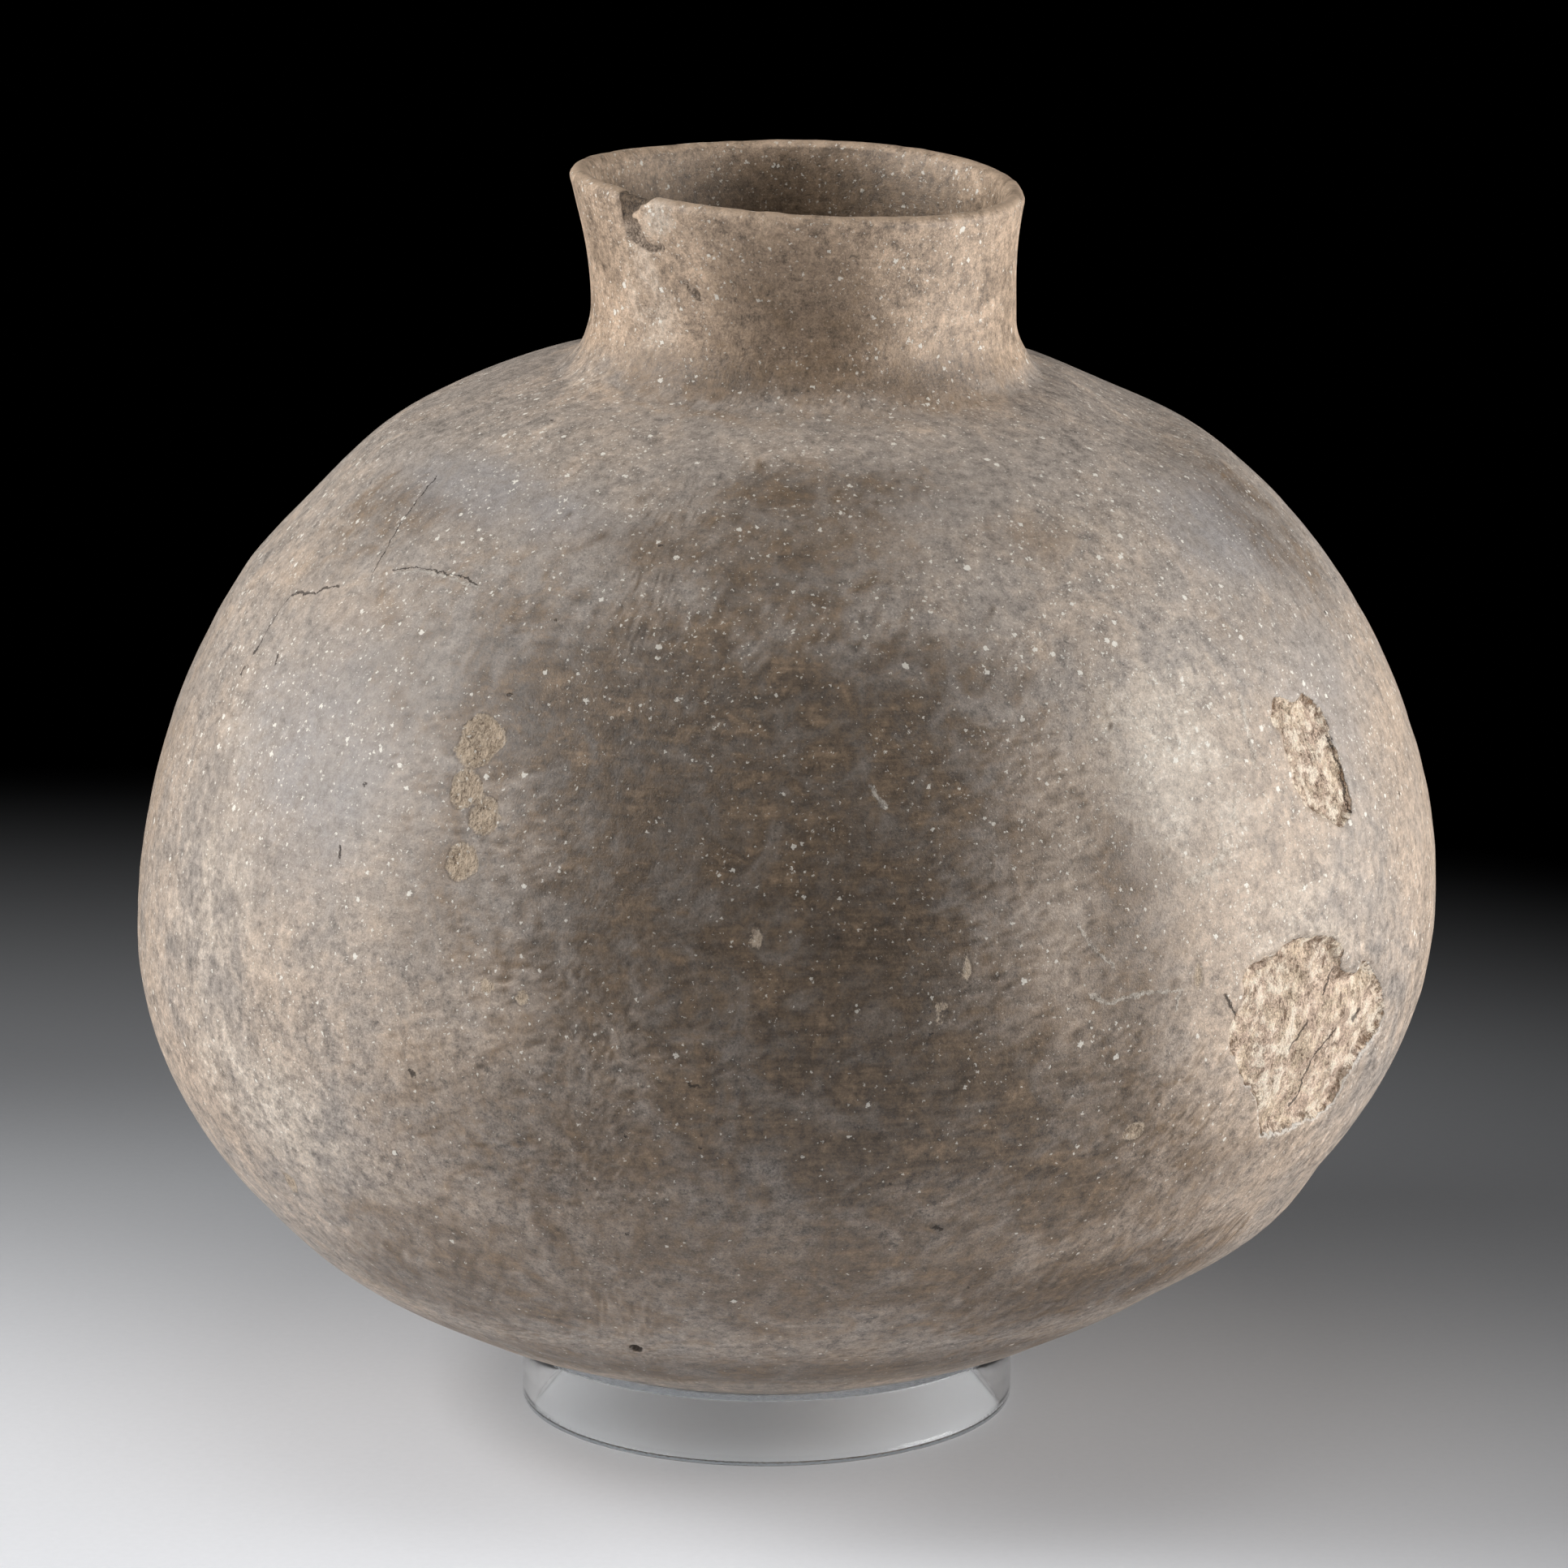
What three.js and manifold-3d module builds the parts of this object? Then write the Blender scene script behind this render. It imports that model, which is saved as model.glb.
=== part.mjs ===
// Coil-built, round-bottomed clay jar standing in a clear display ring.
// Millimetres, Z up. The floor is z = 0 and the front of the jar faces -Y.
// An azimuth is measured from the front, in degrees, and grows towards +X.
// Heights on the jar are measured up from the lowest point of its base.

import * as THREE from 'three';
import { mergeVertices } from 'three/addons/utils/BufferGeometryUtils.js';
import Module from 'manifold-3d';

const wasm = await Module();
wasm.setup();

// Display ring: a slice of clear tube, with its sawn edges taken off
const ringOuterRadius = 76.2;
const ringWall = 6.35;
const ringHeight = 20.8;
const ringEdgeBevel = 0.5;

// Jar body: a flattened base, the belly, and the shoulder up to the root of the neck
const bellyRadius = 199.5;
const bellyHeight = 147.6;
const baseFlatReach = 101.5;
const lowerBellyReach = 82;
const upperBellyReach = 70;
const shoulderRise = 167;
const shoulderReach = 80;
const shoulderSlope = 12;

// Neck: a crisp root, a waist, and a flare up to the rolled lip
const neckWaistRadius = 64.3;
const neckRootSpread = 11;
const neckWaistRise = 17.5;
const neckFlareRise = 40.9;
const lipSpread = 4.4;
const lipFlare = 14;

// Wall thickness, measured square to the surface
const baseWall = 9;
const bellyWall = 7;
const neckWall = 6.4;
const lipWall = 6;

// The hand-built jar is not quite upright: its belly and the root of its neck stand towards +X,
// and its lip a little back again
const bellyLean = 7.2;
const neckLean = 4.2;
const lipLean = -2;

// Broad swells and hollows left by the potter's hands: centre, reach across in degrees,
// reach up in millimetres, and how far the wall stands out
const swells = [
  { azimuth: 84, height: 58, across: 45, up: 21, rise: 3.8 },
  { azimuth: 80, height: 26, across: 40, up: 15, rise: -1.4 },
  { azimuth: 90, height: 303, across: 45, up: 15, rise: -4.2 },
  { azimuth: -90, height: 310, across: 45, up: 16, rise: -2.4 },
  { azimuth: -90, height: 272, across: 38, up: 22, rise: -1.7 },
  { azimuth: -85, height: 40, across: 45, up: 26, rise: 1.8 },
  { azimuth: 168, height: 96, across: 40, up: 45, rise: -1.6 },
  { azimuth: -150, height: 215, across: 38, up: 50, rise: 1.4 },
  { azimuth: 128, height: 235, across: 30, up: 36, rise: 1.2 },
];

// Waves of the uneven rim: how far it rises, how many waves, and the azimuth of the first crest
const rimWaves = [
  { rise: 3.3, count: 1, crest: -82.5 },
  { rise: 0.96, count: 2, crest: -42 },
  { rise: 0.35, count: 3, crest: 30 },
];

// Where the face of the wall has flaked away. An outline's points lie across the wall and up it,
// in order round a smooth closed curve.
const spalls = [
  {
    azimuth: 51,
    height: 140.5,
    depth: 3,
    outline: [
      [-30, 24.5], [-18, 27], [-14, 29.2], [-3.5, 29.5], [10, 26.5], [15.5, 22], [16.5, 16.5],
      [23.5, 13.4], [30, 14.2], [35, 11], [41, 4.7], [47, -4], [44.5, -12.5], [31.5, -19.5],
      [27, -31], [14, -32], [-6, -32], [-14, -26.5], [-19, -18.5], [-31, -5.5], [-35.5, 7],
      [-32.5, 16],
    ],
  },
  {
    azimuth: 56.4,
    height: 217.8,
    depth: 2.2,
    outline: [
      [-10.5, 18.3], [-5, 21], [0, 20], [2, 18.6], [8, 19.6], [13.5, 17], [17.3, 11], [14.8, 4],
      [15.8, -2], [15, -12], [15, -18.5], [8, -22], [-1.3, -19.2], [-11.5, -8.6], [-13, 0],
      [-10.4, 10], [-12.6, 14.5],
    ],
  },
];

// Small shallow flakes in a line down the left of the belly
const flakes = [
  { azimuth: -30.5, height: 235.6, width: 15, length: 17, depth: 0.9 },
  { azimuth: -30.5, height: 222.1, width: 10, length: 12, depth: 0.8 },
  { azimuth: -28.3, height: 216.2, width: 11, length: 11, depth: 0.8 },
  { azimuth: -29.5, height: 203.1, width: 9, length: 12, depth: 0.7 },
];

// Chips broken out of the lip, each as far below the rim as its drop
const chips = [
  { azimuth: -46, drop: 6, width: 17, height: 19, depth: 3.2 },
  { azimuth: -38, drop: 11, width: 13, height: 13, depth: 1.6 },
];

// Round pit drilled in the underside
const pitAzimuth = -16;
const pitHeight = 46.2;
const pitRadius = 1.7;
const pitDepth = 4.5;

// Heights over which the lean and the waves of the rim fade in. The base is left true up to its seat.
const seatFlat = 10;
const leanReach = 42.4;
const rootLeanReach = 7.5;
const rimWaveReach = 40;

// Clearance between the jar and the edge it rests on
const seatGap = 0.3;

// Smoothness of the turned shapes
const turnSegments = 64;
const ringSegments = 96;
const outsideSteps = [14, 13, 4, 4];
const insideSteps = [8, 8, 3, 3];
const lipSteps = 6;
const ballSegments = 96;
const pitSegments = 16;
const cutterReach = 14;
const outlineSteps = 2;
const mergeDistance = 1e-4;
const bisections = 40;

const radians = THREE.MathUtils.degToRad;
const { smoothstep, lerp } = THREE.MathUtils;

const ringInnerRadius = ringOuterRadius - ringWall;
const neckRootRadius = neckWaistRadius + neckRootSpread;
const neckRootHeight = bellyHeight + shoulderRise;
const waistHeight = neckRootHeight + neckWaistRise;
const rimHeight = waistHeight + neckFlareRise;
const lipRadius = neckWaistRadius + lipSpread;

const clayColor = 0x7f766c;
const clayRoughness = 0.62;
const acrylicColor = 0xe6ecec;
const acrylicRoughness = 0.06;
const acrylicOpacity = 0.35;

// Outside of the jar

function direction(slope) {
  return new THREE.Vector2(-Math.cos(radians(slope)), Math.sin(radians(slope)));
}

function cubic(start, startHandle, endHandle, end) {
  return new THREE.CubicBezierCurve(start, startHandle, endHandle, end);
}

function baseCurve() {
  const start = new THREE.Vector2(0, 0);
  const end = new THREE.Vector2(bellyRadius, bellyHeight);
  const startHandle = new THREE.Vector2(baseFlatReach, 0);
  const endHandle = new THREE.Vector2(bellyRadius, bellyHeight - lowerBellyReach);
  return cubic(start, startHandle, endHandle, end);
}

function shoulderCurve() {
  const start = new THREE.Vector2(bellyRadius, bellyHeight);
  const end = new THREE.Vector2(neckRootRadius, neckRootHeight);
  const startHandle = new THREE.Vector2(bellyRadius, bellyHeight + upperBellyReach);
  const endHandle = end.clone().addScaledVector(direction(shoulderSlope), -shoulderReach);
  return cubic(start, startHandle, endHandle, end);
}

function rootCurve() {
  const start = new THREE.Vector2(neckRootRadius, neckRootHeight);
  const end = new THREE.Vector2(neckWaistRadius, waistHeight);
  const startHandle = start.clone().addScaledVector(direction(shoulderSlope), neckRootSpread / 2);
  const endHandle = new THREE.Vector2(neckWaistRadius, waistHeight - neckWaistRise / 2);
  return cubic(start, startHandle, endHandle, end);
}

function flareCurve() {
  const lean = radians(lipFlare);
  const round = lipWall / 2;
  const start = new THREE.Vector2(neckWaistRadius, waistHeight);
  const end = new THREE.Vector2(
    lipRadius - round * (1 - Math.cos(lean)),
    rimHeight - round * (1 + Math.sin(lean)),
  );
  const along = new THREE.Vector2(Math.sin(lean), Math.cos(lean));
  const startHandle = new THREE.Vector2(neckWaistRadius, waistHeight + neckFlareRise / 3);
  const endHandle = end.clone().addScaledVector(along, -neckFlareRise / 3);
  return cubic(start, startHandle, endHandle, end);
}

// Points along a curve, moved square to it towards the inside of the jar
function insetPoints(curve, steps, insetAt) {
  const points = [];
  for (let i = 0; i <= steps; i += 1) {
    const t = i / steps;
    const tangent = curve.getTangent(t);
    const inward = new THREE.Vector2(-tangent.y, tangent.x);
    const point = curve.getPoint(t).addScaledVector(inward, insetAt(t));
    point.x = Math.max(point.x, 0);
    points.push(point);
  }
  return points;
}

// From the middle of the base to the end of the flare, inset by a function of t for each of
// the four curves in turn
function wallPoints(steps, insets) {
  const curves = [baseCurve(), shoulderCurve(), rootCurve(), flareCurve()];
  const points = [];
  curves.forEach((curve, index) => {
    const part = insetPoints(curve, steps[index], insets[index]);
    points.push(...part.slice(index === 0 ? 0 : 1));
  });
  points[0].x = 0;
  return points;
}

// The lip is half round: over the top from the outside of the flare to its inside
function lipPoints() {
  const lean = radians(lipFlare);
  const round = lipWall / 2;
  const centre = new THREE.Vector2(lipRadius - round, rimHeight - round);
  const points = [];
  for (let i = 1; i < lipSteps; i += 1) {
    const turn = -lean + (Math.PI * i) / lipSteps;
    points.push(new THREE.Vector2(
      centre.x + round * Math.cos(turn),
      centre.y + round * Math.sin(turn),
    ));
  }
  return points;
}

// The true round jar is given its hand-built form: swells, then the uneven rim, then the lean

function swellAt(azimuth, height) {
  let rise = 0;
  for (const swell of swells) {
    const turn = THREE.MathUtils.euclideanModulo(azimuth - swell.azimuth + 180, 360) - 180;
    const distance = (turn / swell.across) ** 2 + ((height - swell.height) / swell.up) ** 2;
    rise += swell.rise * Math.max(0, 1 - distance) ** 2;
  }
  return rise;
}

function rimRiseAt(azimuth, height) {
  let rise = 0;
  for (const wave of rimWaves) {
    rise += wave.rise * Math.cos(wave.count * radians(azimuth - wave.crest));
  }
  return rise * smoothstep(height, neckRootHeight - rimWaveReach, rimHeight - lipWall);
}

function leanAt(height) {
  const belly = bellyLean * smoothstep(height, seatFlat, bellyHeight + leanReach);
  const neck = neckLean * smoothstep(
    height,
    neckRootHeight - rootLeanReach,
    neckRootHeight + rootLeanReach,
  );
  const lip = lipLean * smoothstep(height, waistHeight, rimHeight);
  return belly + neck + lip;
}

// Swells push the wall straight out from the middle of the belly
function handBuilt(point) {
  const azimuth = THREE.MathUtils.radToDeg(Math.atan2(point.x, -point.y));
  const outward = point.clone().sub(new THREE.Vector3(0, 0, bellyHeight)).normalize();
  const formed = point.clone().addScaledVector(outward, swellAt(azimuth, point.z));
  formed.x += leanAt(point.z);
  formed.z += rimRiseAt(azimuth, point.z);
  return formed;
}

function shapeJar(geometry) {
  const position = geometry.attributes.position;
  const point = new THREE.Vector3();
  for (let i = 0; i < position.count; i += 1) {
    point.fromBufferAttribute(position, i);
    position.setXYZ(i, ...handBuilt(point));
  }
  return geometry;
}

function turned(points, segments) {
  return new THREE.LatheGeometry(points, segments).rotateX(Math.PI / 2);
}

// Solids

function toSolid(geometry) {
  const bare = geometry.clone();
  bare.deleteAttribute('normal');
  bare.deleteAttribute('uv');
  const merged = mergeVertices(bare, mergeDistance);
  const triangles = [];
  const index = merged.index.array;
  for (let i = 0; i < index.length; i += 3) {
    const [a, b, c] = [index[i], index[i + 1], index[i + 2]];
    if (a !== b && b !== c && c !== a) {
      triangles.push(a, b, c);
    }
  }
  return new wasm.Manifold(new wasm.Mesh({
    numProp: 3,
    vertProperties: new Float32Array(merged.attributes.position.array),
    triVerts: new Uint32Array(triangles),
  }));
}

function toGeometry(solid) {
  const mesh = solid.getMesh();
  const geometry = new THREE.BufferGeometry();
  geometry.setAttribute('position', new THREE.BufferAttribute(mesh.vertProperties, 3));
  geometry.setIndex(new THREE.BufferAttribute(mesh.triVerts, 1));
  geometry.computeVertexNormals();
  return geometry;
}

// The shell of the jar: outside, lip and inside in one closed profile
function jarShell() {
  const outside = wallPoints(outsideSteps, [() => 0, () => 0, () => 0, () => 0]);
  const inside = wallPoints(insideSteps, [
    (t) => lerp(baseWall, bellyWall, t),
    () => bellyWall,
    (t) => lerp(bellyWall, neckWall, t),
    (t) => lerp(neckWall, lipWall, t),
  ]);
  const profile = [...outside, ...lipPoints(), ...inside.reverse()];
  return toSolid(shapeJar(turned(profile, turnSegments)));
}

// The jar filled solid and pared down by a depth: what a flake of that depth leaves behind
function paredJar(depth) {
  const pared = wallPoints(outsideSteps, [() => depth, () => depth, () => depth, () => depth]);
  const top = new THREE.Vector2(0, pared[pared.length - 1].y);
  return toSolid(shapeJar(turned([...pared, top], turnSegments)));
}

// How far along a curve a condition stops being true
function solveOnCurve(curve, isBefore) {
  let low = 0;
  let high = 1;
  for (let i = 0; i < bisections; i += 1) {
    const middleT = (low + high) / 2;
    if (isBefore(curve.getPoint(middleT))) {
      low = middleT;
    } else {
      high = middleT;
    }
  }
  return low;
}

// A frame on the outside of the wall: its place, and axes along the wall, up the wall and outwards
function frameOnWall(azimuth, height) {
  const curves = [baseCurve(), shoulderCurve(), rootCurve(), flareCurve()];
  const curve = curves.find((candidate) => candidate.v3.y >= height) ?? curves[3];
  const t = solveOnCurve(curve, (point) => point.y < height);
  const point = curve.getPoint(t);
  const tangent = curve.getTangent(t);
  const turn = radians(azimuth);
  const out = new THREE.Vector3(Math.sin(turn), -Math.cos(turn), 0);
  const along = new THREE.Vector3(Math.cos(turn), Math.sin(turn), 0);
  const up = out.clone().multiplyScalar(tangent.x).add(new THREE.Vector3(0, 0, tangent.y));
  const outward = along.clone().cross(up);
  const place = out.clone().multiplyScalar(point.x).setZ(point.y);
  return new THREE.Matrix4().makeBasis(along, up, outward).setPosition(handBuilt(place));
}

function spallCut({ azimuth, height, depth, outline }) {
  const corners = outline.map(([across, up]) => new THREE.Vector3(across, up, 0));
  const edge = new THREE.CatmullRomCurve3(corners, true).getPoints(outlineSteps * outline.length).slice(1);
  const shape = new THREE.Shape(edge.map(({ x, y }) => new THREE.Vector2(x, y)));
  const prism = new THREE.ExtrudeGeometry(shape, { depth: 2 * cutterReach, bevelEnabled: false });
  prism.translate(0, 0, -cutterReach);
  prism.applyMatrix4(frameOnWall(azimuth, height));
  return toSolid(prism).subtract(paredJar(depth));
}

// A shallow scoop: a ball so large that it cuts the given width and depth, squeezed to its length
function flakeCut({ azimuth, height, width, length, depth }) {
  const half = width / 2;
  const radius = (half * half + depth * depth) / (2 * depth);
  const ball = new THREE.SphereGeometry(1, ballSegments, ballSegments / 2);
  ball.scale(radius, radius * (length / width), radius);
  ball.translate(0, 0, radius - depth);
  ball.applyMatrix4(frameOnWall(azimuth, height));
  return toSolid(ball);
}

// A rough lump with flat faces, sunk in the outside of the lip to its depth
function chipCut({ azimuth, drop, width, height, depth }) {
  const lump = new THREE.IcosahedronGeometry(1, 1);
  lump.scale(width / 2, height / 2, 2 * depth);
  lump.translate(0, 0, depth);
  lump.applyMatrix4(frameOnWall(azimuth, rimHeight - drop));
  return toSolid(lump);
}

function pitCut() {
  const pit = new THREE.CylinderGeometry(pitRadius, pitRadius, 2 * pitDepth, pitSegments);
  pit.rotateX(Math.PI / 2);
  pit.applyMatrix4(frameOnWall(pitAzimuth, pitHeight));
  return toSolid(pit);
}

function jarGeometry() {
  const cuts = [...spalls.map(spallCut), ...flakes.map(flakeCut), ...chips.map(chipCut), pitCut()];
  return toGeometry(cuts.reduce((jar, cut) => jar.subtract(cut), jarShell()));
}

// Display ring

function ringGeometry() {
  const [inside, outside, top, bevel] = [ringInnerRadius, ringOuterRadius, ringHeight, ringEdgeBevel];
  const profile = [
    [inside + bevel, 0], [outside - bevel, 0], [outside, bevel], [outside, top - bevel],
    [outside - bevel, top], [inside + bevel, top], [inside, top - bevel], [inside, bevel],
    [inside + bevel, 0],
  ];
  const points = profile.map(([radius, height]) => new THREE.Vector2(radius, height));
  return turned(points, ringSegments);
}

// How high the lowest point of the jar stands when its round base rests, with its gap,
// on the inner edge of the ring's top
function seatLift() {
  const curve = baseCurve();
  const contactRadius = ringInnerRadius + ringEdgeBevel;
  const t = solveOnCurve(curve, (point) => point.x < contactRadius);
  const tangent = curve.getTangent(t);
  const gapUp = seatGap / Math.cos(Math.atan2(tangent.y, tangent.x));
  return ringHeight + gapUp - curve.getPoint(t).y;
}

// Assembly

function piece(name, geometry, color, roughness) {
  const material = new THREE.MeshStandardMaterial({ color, roughness, metalness: 0 });
  const mesh = new THREE.Mesh(geometry, material);
  mesh.name = name;
  return mesh;
}

const olla = piece('olla', jarGeometry(), clayColor, clayRoughness);
olla.position.z = seatLift();

const displayRing = piece('display_ring', ringGeometry(), acrylicColor, acrylicRoughness);
displayRing.material.transparent = true;
displayRing.material.opacity = acrylicOpacity;

// The origin is on the floor under the middle of the whole outline, and the lean
// leaves the ring's own axis a little to one side of it
const assembly = new THREE.Group();
assembly.add(olla, displayRing);
assembly.updateMatrixWorld(true);
const middle = new THREE.Box3().setFromObject(assembly, true).getCenter(new THREE.Vector3());
assembly.position.set(-middle.x, -middle.y, 0);

export default assembly;
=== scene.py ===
import math
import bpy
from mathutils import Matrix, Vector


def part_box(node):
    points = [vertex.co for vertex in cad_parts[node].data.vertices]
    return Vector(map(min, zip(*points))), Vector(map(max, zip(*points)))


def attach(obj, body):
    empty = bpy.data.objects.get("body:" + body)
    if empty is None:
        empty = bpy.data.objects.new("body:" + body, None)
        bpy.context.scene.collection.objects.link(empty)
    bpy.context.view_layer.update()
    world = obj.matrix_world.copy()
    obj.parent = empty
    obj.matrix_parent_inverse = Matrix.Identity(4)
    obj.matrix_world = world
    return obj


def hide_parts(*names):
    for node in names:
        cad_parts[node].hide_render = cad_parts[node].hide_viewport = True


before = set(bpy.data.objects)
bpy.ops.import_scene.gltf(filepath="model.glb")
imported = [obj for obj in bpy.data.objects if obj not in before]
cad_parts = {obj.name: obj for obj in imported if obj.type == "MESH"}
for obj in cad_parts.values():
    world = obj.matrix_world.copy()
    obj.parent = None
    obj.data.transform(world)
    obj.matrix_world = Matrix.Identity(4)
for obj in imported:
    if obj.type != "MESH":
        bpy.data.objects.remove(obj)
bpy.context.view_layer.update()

import types

import bpy
import numpy as np

bl_info = {
    "name": "Clay olla on a display ring",
    "version": (1, 0, 0),
    "blender": (4, 5, 0),
    "location": "3D View > Sidebar > Olla",
    "description": "Builds a fire-clouded, coil-built storage jar, its clear ring and a plain studio",
    "category": "Add Mesh",
}

MM = 0.001
JAR_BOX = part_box("olla")
RING_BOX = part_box("display_ring")
RING_CENTRE_X = (RING_BOX[0].x + RING_BOX[1].x) / 2
RING_CENTRE_Y = (RING_BOX[0].y + RING_BOX[1].y) / 2

# Azimuths are degrees from the front of the jar, which is -Y, and grow towards +X.
# Heights on the jar are millimetres above the lowest point of its base.

# Swells left by the potter's hands: azimuth, height, reach across in degrees, reach up and rise in
# millimetres
SWELLS = (
    (84, 58, 45, 21, 3.8),
    (80, 26, 40, 15, -1.4),
    (90, 303, 45, 15, -4.2),
    (-90, 310, 45, 16, -2.4),
    (-90, 272, 38, 22, -1.7),
    (-85, 40, 45, 26, 1.8),
    (168, 96, 40, 45, -1.6),
    (-150, 215, 38, 50, 1.4),
    (128, 235, 30, 36, 1.2),
)

# Waves of the rim: rise, number of waves round the rim, azimuth of the first crest
RIM_WAVES = ((3.3, 1, -82.5), (0.96, 2, -42), (0.35, 3, 30))

# Where forms set in, in millimetres: the waves below the neck's root, the lean over the base and
# past the belly's height, the neck's own lean either side of its root, and the radii between which
# the base goes from its even seat to its uneven wall
WAVES_BELOW_ROOT = 40
LEAN_START = 10
LEAN_PAST_BELLY = 42.4
LEAN_ROUND_ROOT = 7.5
SEAT_EDGE = (66, 84)

# Where the face of the wall has flaked away: azimuth, height, depth, and the outline's points
# across the wall and up it
SPALLS = (
    (51, 140.5, 3.0, (
        (-30, 24.5), (-18, 27), (-14, 29.2), (-3.5, 29.5), (10, 26.5), (15.5, 22), (16.5, 16.5),
        (23.5, 13.4), (30, 14.2), (35, 11), (41, 4.7), (47, -4), (44.5, -12.5), (31.5, -19.5),
        (27, -31), (14, -32), (-6, -32), (-14, -26.5), (-19, -18.5), (-31, -5.5), (-35.5, 7),
        (-32.5, 16),
    )),
    (56.4, 217.8, 2.2, (
        (-10.5, 18.3), (-5, 21), (0, 20), (2, 18.6), (8, 19.6), (13.5, 17), (17.3, 11), (14.8, 4),
        (15.8, -2), (15, -12), (15, -18.5), (8, -22), (-1.3, -19.2), (-11.5, -8.6), (-13, 0),
        (-10.4, 10), (-12.6, 14.5),
    )),
)

# Dark clefts of each spall: half width, and points across and up in that spall's outline
CLEFTS = (
    (
        (0.5, ((17.2, -3.4), (11.3, -7.2), (6.0, -11.0), (4.6, -16.2), (3.9, -21.3), (1.4, -25.0))),
        (0.9, ((32.3, -1.5), (28.2, -3.5))),
        (0.7, ((1.2, 2.6), (-1.2, -0.2), (-5.9, -4.4))),
        (0.5, ((13.7, 15.8), (11.9, 11.6), (9.5, 8.6))),
        (0.5, ((-38.6, 18.6), (-35.9, 14.1), (-33.8, 10.5))),
    ),
    (
        (0.45, ((14.2, 4.6), (14.4, -1.8), (14.1, -10.7), (13.1, -19.0))),
    ),
)

# Shallow flakes: azimuth, height, width, length, depth
FLAKES = (
    (-30.5, 235.6, 15, 17, 0.9),
    (-30.8, 222.6, 11, 12, 0.8),
    (-28.3, 216.2, 10, 11, 0.8),
    (-29.8, 203.1, 11, 11, 0.6),
    (-52.2, 89.9, 6, 9, 0.8),
    (31.3, 122.8, 8, 6, 0.4),
    (14.8, 177.8, 3.5, 9, 0.4),
    (12.7, 165.5, 3.5, 8, 0.4),
    (-2.9, 187.9, 3.5, 7, 0.3),
    (-26.0, 169.5, 5, 5, 0.3),
    (-22.8, 167.3, 5, 5, 0.3),
    (36.7, 166.7, 3, 8, 0.5),
)

# Chips broken out of the lip and a dent below them, in the same form as the spalls
CHIPS = (
    (-45, 368, 1.1, (
        (-7.4, 8), (-7.6, 2), (-6.8, -3), (-4.8, -4), (-1, -1.2), (3, 1.5), (6.2, 4), (7.5, 8),
    )),
    (-45, 368, 0.9, (
        (-6.8, -2.6), (-3.6, -3.2), (-1, -2.4), (0.6, -5), (1.5, -8.6), (5, -10), (8.6, -9.6),
        (8.4, -11.8), (3, -12.6), (-2, -11.6), (-6, -9.6), (-7.2, -6),
    )),
    (-30.5, 347.3, 0.45, (
        (-3.8, 2.8), (-1.5, 2.8), (1, 0.5), (3.6, -2.6), (3, -4.4), (0.5, -3), (-2.5, 0), (-4.4, 1.5),
    )),
)

# Oval pit drilled in the underside: azimuth, height, reach across and up, depth
PIT = (-16, 46.2, 1.6, 2.6, 2.5)

# Hair cracks in patches of wall: half width, and points as azimuth and height
CRACKS = (
    (
        (0.18, ((-58.2, 294.6), (-56.3, 282.7), (-55.2, 277.5), (-54.2, 269.6))),
    ),
    (
        (0.5, ((-58.8, 264.8), (-60.7, 263.8), (-62.0, 261.6))),
        (0.3, ((-62.0, 261.6), (-63.5, 260.6))),
        (0.42, ((-63.5, 260.6), (-65.8, 259.8), (-66.7, 258.5))),
        (0.2, ((-66.7, 258.5), (-67.3, 254.1), (-67.2, 249.6), (-67.0, 243.1))),
        (0.55, ((-67.0, 243.1), (-67.2, 241.5))),
        (0.55, ((-67.7, 236.8), (-67.7, 234.8))),
        (0.4, ((-62.2, 244.0), (-61.7, 241.5))),
        (0.2, ((-51.5, 272.6), (-48, 274.8), (-44, 274.9), (-40, 275), (-38, 273.6))),
    ),
    (
        (0.5, ((-43.2, 200.4), (-43.0, 197.6))),
    ),
    (
        (0.8, ((-33.0, 140.9), (-32.7, 139.8))),
    ),
    (
        (0.8, ((-8.0, 146.0), (-7.4, 145.0))),
    ),
    (
        (0.5, ((14.0, 98.2), (14.8, 97.4))),
    ),
)

# Pale scratches and scuffs, and the raised edge of a crack, in the same form
SCRATCHES = (
    (
        (0.5, ((-51, 272), (-46.7, 274.1), (-41.3, 274.1), (-37.7, 273.2))),
    ),
    (
        (1.3, ((49, 238.4), (48.3, 230.5), (47.8, 220.7))),
        (1.5, ((36.8, 194), (39, 195.8), (41.5, 200.1))),
        (0.9, ((44.5, 205), (43.2, 209), (44, 214))),
        (0.8, ((25.2, 187.3), (26.2, 181.1), (28.2, 174.4))),
    ),
    (
        (0.9, ((29.8, 164.9), (31.8, 165.2), (34.7, 164), (34.3, 158.8))),
        (0.8, ((26, 167), (27.4, 163.8), (29.8, 164.9))),
    ),
    (
        (0.9, ((7.2, 228.6), (8.0, 225.9), (8.5, 223.4))),
    ),
)

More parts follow.
